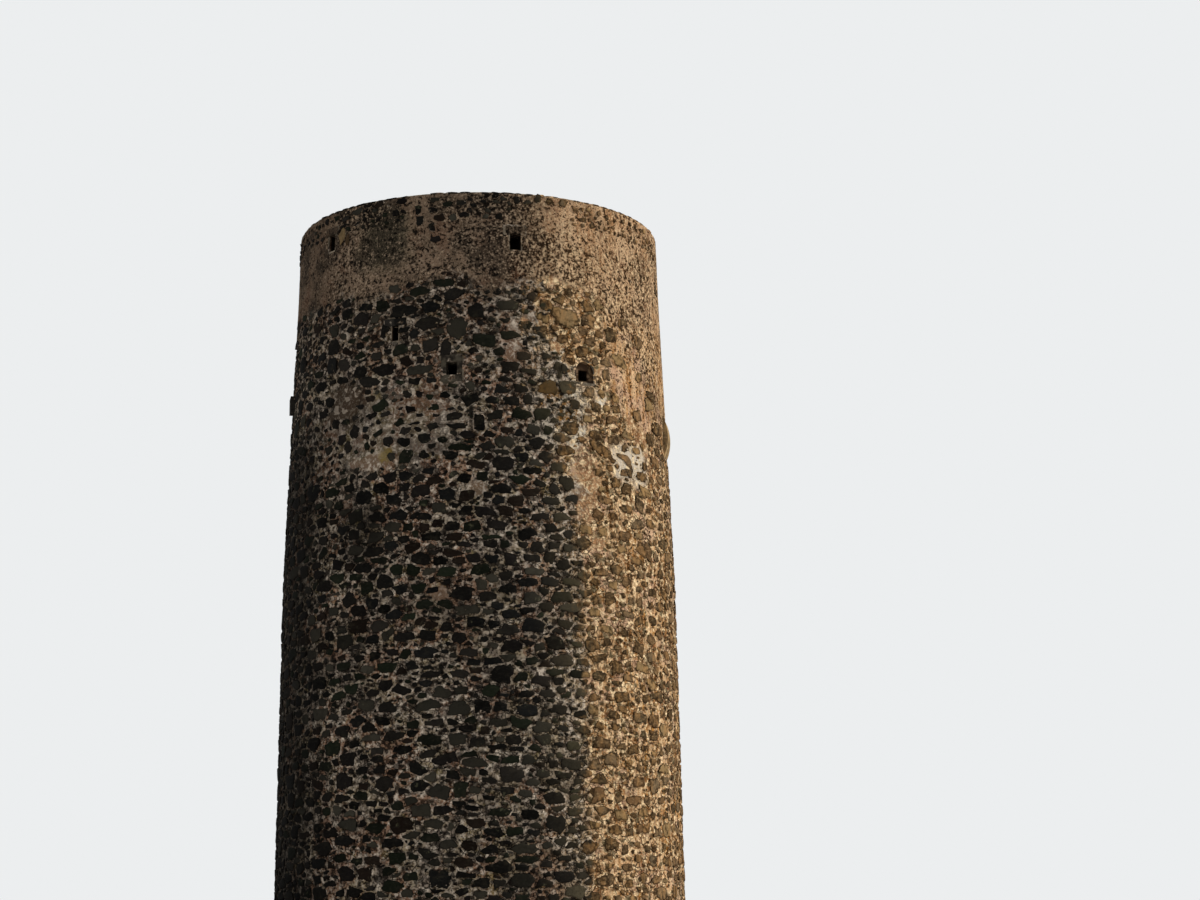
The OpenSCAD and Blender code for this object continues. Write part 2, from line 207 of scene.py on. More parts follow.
mouths, dressed = [], []
for row in range(int((z_rim - RAY_HEADROOM) / RAY_PITCH)):
    z = row * RAY_PITCH + RAY_LOWEST
    if z < z_steep:
        continue
    for column in range(int(GIRTH / RAY_PITCH)):
        x = -GIRTH / 2 + column * RAY_PITCH
        bearing = x / ROLL_RADIUS
        inward = Vector((-math.sin(bearing), math.cos(bearing), 0.0))
        hit, _, index, distance = shell.ray_cast(Vector(on_wall(x, z, RAY_START)), inward, RAY_LENGTH)
        if hit is None or distance > RAY_START + DEEP:
            mouths.append((x, z))
        elif owners[index] in DRESSED:
            dressed.append((x, z))


def tree_of(samples):
    tree = kdtree.KDTree(len(samples))
    for i, (x, z) in enumerate(samples):
        tree.insert((x, z, 0.0), i)
    tree.balance()
    return tree


keep_clear = tree_of(mouths + dressed)


def gap_to_openings(x, z):
    """Negative on every point between samples, as half the diagonal of their mesh is taken off."""
    return keep_clear.find((x, z, 0.0))[2] - HALF_DIAGONAL


print("open samples:", len(mouths), "on squared stones:", len(dressed))

# %% [markdown]
# ## Where the render ends
#
# The render on the head has worn away below a ragged line. Its edge is read at a few pixels of the photograph, and it
# wavers on round the hidden side. Between the points the edge is interpolated and then roughened with noise.

# %% Edge of the render
EDGE_PIXELS = [(303, 322), (322, 312), (340, 302), (370, 304), (400, 291), (425, 284), (450, 276), (474, 283),
               (492, 296), (520, 290), (548, 291), (575, 292), (597, 300), (606, 350), (612, 395), (625, 428),
               (648, 440)]
HIDDEN_EDGE = [(95, 7.6), (112, 8.6), (128, 9.3), (150, 9.05), (178, 9.5), (205, 9.2), (232, 9.45), (258, 9.15)]
turned_edge = [((bearing + 180) % 360 - 180, z) for bearing, z in HIDDEN_EDGE]
edge_points = sorted([wall_at(*pixel) for pixel in EDGE_PIXELS] + turned_edge)
edge_bearings, edge_levels = zip(*edge_points)

RAGGED = ((0.28, 1.9), (0.16, 5.0))     # height in metres and fineness of two noises
RENDER_FADE = 0.12


def render_edge(bearing):
    return float(np.interp(bearing, edge_bearings, edge_levels, period=360))


def render_cover(x, z):
    """0 on bare rubble, 1 where the render is whole."""
    place = Vector(on_wall(x, z, 0.0))
    ragged = sum(height * noise.noise(place * fine) for height, fine in RAGGED)
    above = z + ragged - render_edge(math.degrees(x / ROLL_RADIUS))
    return min(1.0, max(0.0, above / RENDER_FADE))


# Patches where mortar hides the stones: middle, width and height in pixels.
BARE_PIXELS = [(586, 487, 30, 68), (345, 403, 30, 38), (372, 462, 40, 16), (478, 488, 20, 16), (513, 345, 16, 52),
               (641, 415, 28, 68), (440, 592, 20, 16), (597, 540, 16, 20), (530, 318, 14, 16), (560, 345, 16, 12)]
bare_patches = [patch_at(*row) for row in BARE_PIXELS]


def bare_at(x, z):
    """1 where mortar hides the stones altogether, 0 away from such patches."""
    bearing, most = math.degrees(x / ROLL_RADIUS), 0.0
    for middle, level, half_bearing, half_high in bare_patches:
        far = math.hypot((bearing - middle) / half_bearing, (z - level) / half_high)
        if far < 2.0:
            most = max(most, 1.5 - far + 0.5 * noise.noise(Vector((x, z, 0.0)) * 6.0))
    return min(1.0, max(0.0, most))


print("edge of the render:", [(round(b), round(z, 2)) for b, z in edge_points])

# %% [markdown]
# ## Stones that show in the photograph
#
# The largest stones give the wall its face, so each is placed by the pixel of its middle, with its width, height and
# tilt. The others only have to follow the same rules, so they are laid by chance, with a fixed seed.

# %% Places of the stones that can be told apart
LARGE, MEDIUM, CHIP = 3, 2, 1           # sizes, which set how finely a stone is cut
PHOTO_JOINT = 0.012
# Each stone: pixel of its middle, width and height in pixels, tilt in degrees, and a written tone for a few.
PHOTO_STONES = [
    (420, 292, 22, 10, 20), (453, 294, 24, 12, 20), (397, 301, 12, 6, 0), (404, 311, 27, 11, 3),
    (431, 307, 18, 11, 5), (362, 319, 17, 13, 12), (377, 318, 15, 9, 18), (336, 311, 11, 8, 18), (347, 304, 9, 9, 0),
    (476, 311, 17, 14, 0), (427, 323, 26, 13, 14), (457, 328, 21, 19, 0), (374, 327, 14, 6, 12), (334, 330, 9, 13, 0),
    (344, 327, 8, 5, 0), (334, 348, 12, 16, 0), (348, 351, 10, 11, 0), (332, 366, 10, 15, 0), (344, 365, 11, 12, 0),
    (360, 372, 13, 12, 0), (384, 370, 24, 12, 7), (417, 370, 23, 9, 4), (378, 345, 14, 5, 8), (400, 350, 16, 11, 4),
    (366, 339, 9, 6, 0), (376, 357, 12, 10, 0), (431, 345, 18, 12, 6), (414, 334, 10, 8, 0), (486, 340, 24, 16, 0),
    (446, 347, 10, 17, 0), (431, 380, 11, 5, 0), (385, 383, 10, 6, 0), (407, 394, 9, 7, 0), (380, 406, 14, 10, 20),
    (372, 416, 9, 6, 0), (386, 414, 13, 5, 0), (400, 422, 11, 7, 0), (415, 423, 11, 5, 0), (405, 431, 11, 7, 0),
    (378, 434, 10, 6, 25), (366, 437, 8, 5, -15), (433, 426, 10, 9, 20), (425, 438, 12, 9, 8), (403, 442, 12, 9, 0),
    (388, 442, 9, 8, 0), (374, 444, 7, 7, 0), (367, 446, 6, 7, 0), (406, 457, 12, 13, 0), (451, 455, 15, 10, 0),
    (460, 447, 26, 8, -4), (457, 426, 20, 7, 0), (468, 435, 17, 7, 0), (455, 416, 13, 9, 0), (471, 400, 17, 11, 0),
    (323, 414, 10, 10, 0), (330, 402, 7, 10, 0), (355, 432, 8, 11, -15), (329, 451, 7, 9, 0), (342, 440, 8, 9, 0),
    (348, 447, 7, 11, 10), (482, 456, 16, 9, 0), (479, 422, 10, 14, 0), (390, 477, 15, 13, 15), (406, 476, 15, 10, 0),
    (372, 477, 15, 8, 20), (435, 480, 17, 7, 4), (422, 491, 21, 12, 5), (447, 495, 18, 13, 0), (467, 495, 17, 11, 0),
    (483, 476, 12, 9, 0), (380, 488, 17, 11, -10), (404, 487, 12, 9, 0), (393, 499, 17, 12, 8), (423, 503, 12, 8, 0),
    (466, 511, 14, 12, 0), (398, 515, 20, 11, -8), (378, 517, 15, 12, 15), (421, 516, 21, 8, 0),
    (452, 526, 15, 11, 0), (472, 526, 17, 12, 15), (424, 528, 10, 11, 0), (431, 537, 21, 9, -3), (455, 537, 17, 8, 0),
    (376, 537, 15, 12, 0), (392, 546, 15, 11, -20), (412, 548, 17, 11, 10), (374, 552, 20, 9, 0),
    (440, 560, 16, 11, 0), (473, 558, 17, 9, 5), (364, 568, 21, 11, 0), (413, 570, 17, 13, -25),
    (447, 572, 21, 10, -4), (480, 570, 20, 11, 0), (356, 577, 17, 8, 0), (481, 584, 13, 12, 0), (419, 588, 15, 11, 0),
    (384, 582, 15, 15, 0), (400, 602, 15, 9, -8), (395, 615, 19, 9, 0), (409, 617, 16, 8, 0), (500, 489, 23, 11, 5),
    (531, 492, 20, 9, 5), (516, 501, 20, 11, 0), (556, 489, 15, 11, 0), (540, 517, 23, 9, 12), (527, 533, 17, 12, 20),
    (491, 537, 19, 5, 0), (505, 544, 12, 9, 0), (536, 547, 12, 11, 0), (511, 560, 15, 12, 0), (557, 537, 15, 8, 0),
    (534, 571, 20, 11, 0), (506, 576, 17, 9, 0), (529, 582, 20, 9, 0), (550, 582, 19, 11, -8), (507, 590, 19, 11, 0),
    (532, 597, 20, 12, 8), (562, 597, 20, 12, 12), (497, 606, 16, 9, 0), (528, 611, 20, 8, 0), (510, 335, 19, 9, 6),
    (540, 332, 12, 9, 0), (525, 325, 12, 9, 0), (510, 366, 18, 12, 0), (529, 371, 17, 7, -8), (505, 379, 12, 7, 0),
    (501, 389, 19, 9, 0), (521, 389, 15, 8, 0), (493, 400, 14, 7, 0), (510, 401, 15, 8, 0), (527, 400, 11, 10, 0),
    (496, 415, 17, 9, 12), (521, 414, 17, 10, -15), (542, 414, 15, 11, 0), (508, 430, 13, 7, 0),
    (533, 430, 15, 11, 0), (505, 442, 20, 12, 0), (537, 443, 15, 11, 0), (485, 457, 17, 8, 0), (521, 457, 16, 9, 0),
    (546, 457, 15, 12, 0), (533, 471, 19, 9, 0), (562, 370, 16, 12, 0), (606, 375, 10, 12, 0),
    (619, 361, 15, 11, -15), (602, 451, 21, 13, -22), (625, 459, 16, 8, -35), (641, 477, 12, 8, 0),
    (627, 473, 11, 8, 0), (637, 451, 8, 7, 0), (507, 305, 25, 11, 5), (533, 297, 11, 10, 0), (546, 305, 12, 12, 0),
    (543, 318, 13, 11, 0), (566, 318, 27, 17, -18), (588, 321, 16, 13, 0), (598, 305, 12, 11, 0),
    (559, 299, 12, 11, 0), (527, 325, 10, 8, 0), (540, 331, 13, 9, 0), (605, 500, 15, 8, 0), (616, 483, 10, 10, 0),
    (639, 505, 10, 13, -10), (644, 550, 14, 16, -20), (637, 561, 13, 9, 0), (601, 572, 16, 9, 0),
    (583, 576, 12, 11, -20), (610, 599, 12, 13, 10), (628, 615, 12, 11, -10), (621, 549, 15, 7, 4),
    (597, 556, 13, 8, 0), (645, 493, 12, 11, 0), (626, 473, 11, 7, 0), (434, 200, 10, 5, 0), (403, 201, 10, 5, 4),
    (379, 205, 11, 5, 8), (368, 206, 9, 5, 8), (439, 218, 11, 7, -5), (453, 217, 8, 6, 0), (464, 215, 11, 6, 5),
    (433, 210, 8, 5, 0), (462, 203, 10, 6, -5), (448, 204, 9, 5, 0), (347, 219, 8, 5, 10), (358, 212, 8, 6, 10),
    (346, 226, 9, 4, 10), (357, 224, 7, 4, 5), (517, 200, 7, 7, 0), (527, 203, 8, 7, 0), (538, 199, 9, 8, 0),
    (550, 202, 8, 7, 0), (562, 203, 8, 7, 0), (495, 196, 9, 5, 0), (561, 370, 15, 12, 0), (610, 335, 10, 14, 0),
    (637, 343, 7, 12, 0), (638, 378, 6, 9, 0), (582, 351, 12, 12, 0), (622, 323, 8, 9, 0), (598, 420, 10, 9, 0),
    (617, 409, 12, 9, 0), (650, 398, 7, 10, 0), (384, 332, 8, 15, 0), (588, 307, 12, 10, 0), (568, 387, 18, 12, 20),
    (589, 393, 12, 8, 20), (548, 388, 18, 12, 0, "#7a5522"), (615, 398, 7, 12, 0), (607, 409, 8, 8, 0),
    (628, 435, 11, 10, 0), (613, 440, 10, 9, 0), (655, 464, 8, 12, 0), (650, 440, 8, 12, 0), (637, 416, 8, 12, 0),
    (570, 428, 16, 14, 0), (418, 210, 8, 10, 0), (420, 221, 7, 9, 0), (432, 227, 6, 8, 0), (436, 240, 9, 6, 0),
    (343, 237, 6, 13, 0, "#7f6a4b"), (348, 240, 4, 9, 0, "#4a3a28"), (612, 420, 10, 8, 15), (596, 436, 12, 9, -10),
    (648, 405, 9, 14, 0), (657, 430, 8, 12, 0), (575, 404, 10, 9, 0)]


def stone_from_pixels(px, py, wide, high, tilt, tone=None):
    """A stone on the unrolled wall: middle, half width a, half height c, tilt and the width of its joint."""
    bearing, z, half_bearing, half_high = patch_at(px, py, wide, high)
    return {"x": unrolled(bearing), "z": z, "a": unrolled(half_bearing), "c": half_high,
            "tilt": math.radians(tilt), "size": LARGE, "joint": PHOTO_JOINT, "tone": tone, "given": True}


given_stones = [stone_from_pixels(*row) for row in PHOTO_STONES]
widest_stone = 2 * max(stone["a"] for stone in given_stones)
print("stones from the photograph:", len(given_stones), "widest:", round(widest_stone, 2), "m")

# %% [markdown]
# ## Rules for the other stones
#
# A mason takes what is at hand: big boulders near the head, small ones with much mortar below them, and tightly
# packed flat stones towards the foot. Each zone therefore has its own sizes, shapes and spacing.

# %% Zones of the wall
# Half width, slenderness and spacing of a zone's large stones, and the width of the joint between them.
RIM_ROW = (0.045, 0.080), (1.3, 2.0), 1.10, 0.018
LIT_FACE = (0.095, 0.190), (1.2, 2.3), 0.98, 0.026
LIT_EDGE = (0.085, 0.170), (1.1, 2.0), 1.08, 0.030
SMALL_ABOVE = (0.045, 0.115), (1.1, 2.2), 1.12, 0.026
BOULDERS = (0.09, 0.20), (1.2, 2.3), 0.98, 0.026
SPARSE = (0.05, 0.095), (1.2, 2.0), 1.30, 0.02
DENSE = (0.10, 0.195), (1.25, 2.4), 0.87, 0.018
# Metres below the rim, metres over the edge of the render, and heights in metres.
BARE_RIM, RIM_BAND, OVER_EDGE = 0.10, 0.42, 0.05
SPARSE_ABOVE, SMALL_FROM, BOULDERS_FROM = 6.75, 7.3, 7.98
RIM_GAPS = -0.12                        # the row under the rim is missing where a broad noise is lower


def zone_at(x, z):
    """The rule for large stones at a place, or None where there are none."""
    bearing = math.degrees(x / ROLL_RADIUS)
    if z > z_rim - BARE_RIM or bare_at(x, z) > 0.5:
        return None
    if z > z_rim - RIM_BAND and noise.noise(Vector(on_wall(x, z, 0)) * 0.9) > RIM_GAPS:
        return RIM_ROW
    if z > render_edge(bearing) + OVER_EDGE:
        return None
    if 62 < bearing < 125:
        return LIT_FACE
    if 30 < bearing < 118:
        return LIT_EDGE
    if z > SMALL_FROM and -9 < bearing:
        return SMALL_ABOVE
    if z > BOULDERS_FROM:
        return BOULDERS
    if z > SPARSE_ABOVE and (-66 < bearing < -8 or 140 < bearing or bearing < -140):
        return SPARSE
    return DENSE


COURSE_PITCH, COURSE_PULL = 0.245, 0.45


def course_snap(z, bearing):
    """Rubble is levelled up now and then, so middles are drawn a little towards loose courses."""
    wave = 0.05 * math.sin(3 * bearing) + 0.03 * math.sin(7 * bearing + 1)
    course = round((z + wave) / COURSE_PITCH) * COURSE_PITCH - wave
    return z + COURSE_PULL * (course - z)


print("zone low on the front:", zone_at(0.0, 3.0))

# %% [markdown]
# ## Lay the stones on the unrolled wall
#
# Stones are dropped one by one, large before small, and one that would sit on another is thrown away. A hash of
# square cells keeps the search short. Neighbours may overlap a little: the overlap is later cut along a straight
# joint, which gives the fitted look of rubble.


# %% Dropping stones
class Layout:
    """Stones on a flat sheet that closes on itself."""

    CELL = 0.24

    def __init__(self, girth):
        self.girth, self.stones, self.cells = girth, [], {}

    def shift(self, dx):
        return (dx + self.girth / 2) % self.girth - self.girth / 2

    def key(self, x, z):
        return int(x % self.girth // self.CELL), int(z // self.CELL)

    def near(self, x, z, reach=2):
        columns = max(1, int(math.ceil(self.girth / self.CELL)))
        i, k = self.key(x, z)
        for di in range(-reach, reach + 1):
            for dk in range(-reach, reach + 1):
                yield from self.cells.get(((i + di) % columns, k + dk), ())

    def add(self, stone):
        self.stones.append(stone)
        self.cells.setdefault(self.key(stone["x"], stone["z"]), []).append(stone)

    def fits(self, stone, spacing):
        for other in self.near(stone["x"], stone["z"]):
            dx = self.shift(other["x"] - stone["x"]) / (stone["a"] + other["a"])
            dz = (other["z"] - stone["z"]) / (stone["c"] + other["c"])
            if dx * dx + dz * dz < spacing * spacing:
                return False
        return True


chance = random.Random(20)
LARGE_TRIES, MEDIUM_TRIES, CHIP_TRIES = 30000, 24000, 15000
LARGE_HALF, THINNEST_HALF, GROUND_GAP = 0.07, 0.032, 0.01
GIVEN_CLEAR, LARGE_CLEAR = 0.6, 0.75    # how much of a stone's half size has to be free beside an opening
LAST_SHRINK = 0.50                      # by how much of their size the last stones are smaller


def chance_place(low, high):
    return chance.uniform(-GIRTH / 2, GIRTH / 2), chance.uniform(low, high)


def drawn_stone(x, z, a, slender, leaning, joint=0.0, size=None):
    """A stone of half width a. Its half height and its tilt are drawn."""
    c = a / chance.uniform(*slender)
    return {"x": x, "z": z, "a": a, "c": c, "tilt": chance.gauss(0, leaning), "joint": joint,
            "size": size or (LARGE if a > LARGE_HALF else MEDIUM)}


wall_layout = Layout(GIRTH)
for stone in given_stones:
    if gap_to_openings(stone["x"], stone["z"]) > GIVEN_CLEAR * stone["c"]:
        wall_layout.add(stone)

for attempt in range(LARGE_TRIES):
    x, z = chance_place(0.05, z_rim)
    z = course_snap(z, x / ROLL_RADIUS)
    rule = zone_at(x, z)
    if rule is None:
        continue
    (small, large), slender, spacing, joint = rule
    shrink = 1.0 - LAST_SHRINK * (attempt / LARGE_TRIES) ** 1.5
    half_wide = (small + (large - small) * chance.random() ** 1.3) * shrink
    stone = drawn_stone(x, z, half_wide, slender, leaning=0.14)
    on_ground = z - stone["c"] < GROUND_GAP
    stone["c"] = max(stone["c"], THINNEST_HALF)
    stone["joint"] = joint * chance.uniform(0.4, 1.5)
    if not on_ground and gap_to_openings(x, z) >= LARGE_CLEAR * half_wide and wall_layout.fits(stone, spacing):
        wall_layout.add(stone)
print("large stones:", len(wall_layout.stones))

# %% [markdown]
# ## Fill the joints
#
# Between the large stones a mason pushes in smaller ones, and last of all chips that pin the joint. The middle sizes
# are laid by the same rule. The chips only need a place, a size and a turn: Geometry Nodes make them later.

# %% Middle stones and pinning chips
FAR_APART, SKIPPED = 1.2, 0.8           # where stones stand that far apart, this share of the tries is dropped
CLOSE_BELOW, CLOSE_FIT, LOOSE_FIT, CHIP_FIT = 1.05, 1.0, 1.12, 1.02
MEDIUM_CLEAR, CHIP_CLEAR = 0.02, 0.03


def rule_for_small(x, z):
    rule = zone_at(x, z)
    if rule is None or (rule[2] > FAR_APART and chance.random() < SKIPPED):
        return None
    return rule


for attempt in range(MEDIUM_TRIES):
    x, z = chance_place(0.04, z_rim - 0.12)
    rule = rule_for_small(x, z)
    if rule is None:
        continue
    stone = drawn_stone(x, z, chance.uniform(0.030, 0.062), (1.0, 2.0), leaning=0.3, joint=0.011, size=MEDIUM)
    spacing = CLOSE_FIT if rule[2] < CLOSE_BELOW else LOOSE_FIT
    if gap_to_openings(x, z) >= MEDIUM_CLEAR + stone["a"] and wall_layout.fits(stone, spacing):
        wall_layout.add(stone)
laid = len(wall_layout.stones)

chips = []
for attempt in range(CHIP_TRIES):
    x, z = chance_place(0.03, z_rim - 0.1)
    if rule_for_small(x, z) is None:
        continue
    stone = drawn_stone(x, z, chance.uniform(0.013, 0.036), (1.1, 2.6), leaning=0.35, size=CHIP)
    if gap_to_openings(x, z) > CHIP_CLEAR + stone["a"] and wall_layout.fits(stone, CHIP_FIT):
        wall_layout.add(stone)
        chips.append(stone)
print("stones:", laid, "chips:", len(chips))

# %% [markdown]
# ## Cut each stone to its neighbours
#
# A stone starts as a rough block with four to seven corners, and low on the wall mostly as a squared one. Where it
# comes close to a neighbour it is cut back along the line between them, by half the overlap and half the joint.
# Cutting one convex outline by straight lines is the same step that draws a Voronoi diagram, but here each stone keeps
# its own size.

# %% Blocks, cut to fit
GROWTH = 1.22
SQUARED_BELOW, SQUARED_SHARE = 6.75, 0.72
NOTHING, FARTHEST_NEIGHBOUR = 1e-6, 0.9


def corners_left(stone, dice):
    """Where the corners of a block are, in quarter turns, and how far out. Low stones are mostly squared."""
    if stone["z"] < SQUARED_BELOW and dice.random() < SQUARED_SHARE:
        corners = [(k + 0.5 + dice.uniform(-0.24, 0.24), dice.uniform(0.90, 1.27)) for k in range(4)]
        spare = dice.sample((0, 1, 2, 3), dice.choice((0, 1, 1, 2)))
        return sorted(corners + [(k + dice.uniform(-0.3, 0.3), dice.uniform(0.84, 1.06)) for k in spare])
    count = dice.choice((4, 5, 5, 6, 6, 7)) if stone["size"] == LARGE else dice.choice((4, 5, 6))
    first = dice.uniform(0, 4)
    return [(first + 4 * (i + dice.uniform(-0.34, 0.34)) / count, dice.uniform(0.88, 1.30)) for i in range(count)]


def rough_block(stone, dice):
    """A many-cornered outline about the stone's oval, as a hammer leaves it."""
    power = 2.0 / dice.uniform(2.2, 3.6)
    cos_tilt, sin_tilt = math.cos(stone["tilt"]), math.sin(stone["tilt"])
    outline = []
    for quarter, out in corners_left(stone, dice):
        turn, swell = quarter * math.pi / 2, GROWTH * out
        u = stone["a"] * swell * math.copysign(abs(math.cos(turn)) ** power, math.cos(turn))
        v = stone["c"] * swell * math.copysign(abs(math.sin(turn)) ** power, math.sin(turn))
        outline.append((u * cos_tilt - v * sin_tilt, u * sin_tilt + v * cos_tilt))
    return outline


def cut(outline, nx, nz, limit):
    """What is left of an outline on the near side of a line."""
    kept = []
    for i, (px, pz) in enumerate(outline):
        qx, qz = outline[(i + 1) % len(outline)]
        dp, dq = px * nx + pz * nz - limit, qx * nx + qz * nz - limit
        if dp <= 0:
            kept.append((px, pz))
        if (dp < 0 < dq) or (dq < 0 < dp):
            t = dp / (dp - dq)
            kept.append((px + (qx - px) * t, pz + (qz - pz) * t))
    return kept


def reach_of(stone, ux, uz):
    return 1.0 / math.sqrt((ux / stone["a"]) ** 2 + (uz / stone["c"]) ** 2)


def cut_to_neighbours(outline, stone, layout):
    """Cut along the line between the stone and each neighbour, by half the overlap and half the joint."""
    for other in layout.near(stone["x"], stone["z"]):
        if other is stone or other["size"] == CHIP:
            continue
        dx, dz = layout.shift(other["x"] - stone["x"]), other["z"] - stone["z"]
        far = math.hypot(dx, dz)
        if far < NOTHING or far > FARTHEST_NEIGHBOUR:
            continue
        ux, uz = dx / far, dz / far
        mine, theirs = reach_of(stone, ux, uz), reach_of(other, ux, uz)
        spare = far - GROWTH * (mine + theirs) - stone["joint"]
        if spare > 0:
            continue
        nx, nz = ux / (stone["a"] * other["a"]), uz / (stone["c"] * other["c"])
        norm = math.hypot(nx, nz)
        nx, nz = nx / norm, nz / norm
        outline = cut(outline, nx, nz, (GROWTH * mine + spare / 2) * (ux * nx + uz * nz))
        if len(outline) < 3:
            break
    return outline


print("helpers:", rough_block.__name__, cut.__name__, cut_to_neighbours.__name__)

# %% [markdown]
# ## Wear the outlines
#
# Each outline is split into short lengths, its corners are knocked off, and noise shakes every point. Neighbours read
# the same noise, so a joint wanders and keeps its width. A stone that is cut back too far is left out.

# %% Worn outlines
KINK_REACH, KINKS_IN_A_METRE = 0.026, 11.0
FINE_PITCH, COARSE_PITCH, LEAST_STEP = 0.034, 0.050, 0.011
CORNER_LOSS, MOST_SHRUNK, LEAST_AREA = (0.02, 0.12), 0.13, 0.3


def area_of(outline):
    xs, zs = np.array(outline).T
    return 0.5 * abs(np.dot(xs, np.roll(zs, 1)) - np.dot(zs, np.roll(xs, 1)))


def worn(outline, stone, place, dice):
    """Corners knocked off, long edges broken, and every point shaken by a noise that neighbours share."""
    pitch = COARSE_PITCH if stone["size"] == LARGE else FINE_PITCH
    soft = []
    for i, (px, pz) in enumerate(outline):
        qx, qz = outline[(i + 1) % len(outline)]
        start, end = dice.uniform(*CORNER_LOSS), 1.0 - dice.uniform(*CORNER_LOSS)
        steps = max(1, round(math.hypot(qx - px, qz - pz) * (end - start) / pitch))
        for step in range(steps + 1):
            share = start + (end - start) * step / steps
            point = (px + (qx - px) * share, pz + (qz - pz) * share)
            if not soft or math.hypot(point[0] - soft[-1][0], point[1] - soft[-1][1]) > LEAST_STEP:
                soft.append(point)
    shaken = []
    for u, v in soft:
        push = noise.noise_vector(Vector(place(stone["x"] + u, stone["z"] + v, 0.0)) * KINKS_IN_A_METRE)
        keep = 1.0 - dice.random() ** 2 * MOST_SHRUNK
        shaken.append((u * keep + KINK_REACH * push.x, v * keep + KINK_REACH * push.z))
    return shaken


def shape_outlines(layout, stones, dice, place):
    shaped = []
    for stone in stones:
        outline = cut_to_neighbours(rough_block(stone, dice), stone, layout)
        if len(outline) < 3 or area_of(outline) < LEAST_AREA * math.pi * stone["a"] * stone["c"]:
            continue
        stone["outline"] = worn(outline, stone, place, dice)
        if len(stone["outline"]) > 4:
            shaped.append(stone)
    return shaped


dice = random.Random(7)
facing = shape_outlines(wall_layout, [s for s in wall_layout.stones if s["size"] != CHIP], dice, on_wall)
print("shaped:", len(facing))

# %% [markdown]
# ## One class for all node maths
#
# Materials and geometry trees are both made of nodes. Written out, each sum is three lines, so one small class wraps a
# socket and lets Python's own signs add the Math nodes.


# %% Wires
def paint(code):
    """A written colour, such as #74675c, as the linear numbers that sockets take."""
    parts = [int(code[i:i + 2], 16) / 255 for i in (1, 3, 5)]
    return tuple(p / 12.92 if p <= 0.04045 else ((p + 0.055) / 1.055) ** 2.4 for p in parts) + (1.0,)


class Wire:
    """One socket of a tree. Sums, products and comparisons add Math nodes beside it."""

    def __init__(self, bench, socket):
        self.bench, self.socket = bench, socket

    def math(self, operation, *others):
        return self.bench.maths(operation, self, *others)

    def __add__(self, other): return self.math("ADD", other)
    def __sub__(self, other): return self.math("SUBTRACT", other)
    def __rsub__(self, other): return self.bench.maths("SUBTRACT", other, self)
    def __mul__(self, other): return self.math("MULTIPLY", other)
    def __gt__(self, other): return self.math("GREATER_THAN", other)
    def __lt__(self, other): return self.math("LESS_THAN", other)
    __radd__, __rmul__ = __add__, __mul__

    def ramp(self, low, high):
        """0 below low, 1 above high and smooth between. With low above high it falls instead."""
        ends = {"From Min": min(low, high), "From Max": max(low, high),
                "To Min": float(low > high), "To Max": float(low <= high)}
        return self.bench.add("ShaderNodeMapRange", {"interpolation_type": "SMOOTHSTEP"}, {"Value": self, **ends})

    def within(self, low, high, soft):
        return self.ramp(low - soft, low + soft) * self.ramp(high + soft, high - soft)


print("one lime mortar grey:", [round(v, 3) for v in paint("#74675c")])

# %% [markdown]
# ## A bench for each tree
#
# A bench holds one tree and adds every other kind of node. Its patterns read Object coordinates, stretched or even,
# and its coats lay one colour over another, each only where its share says.

# %% The bench
EVEN = (1.0, 1.0, 1.0)


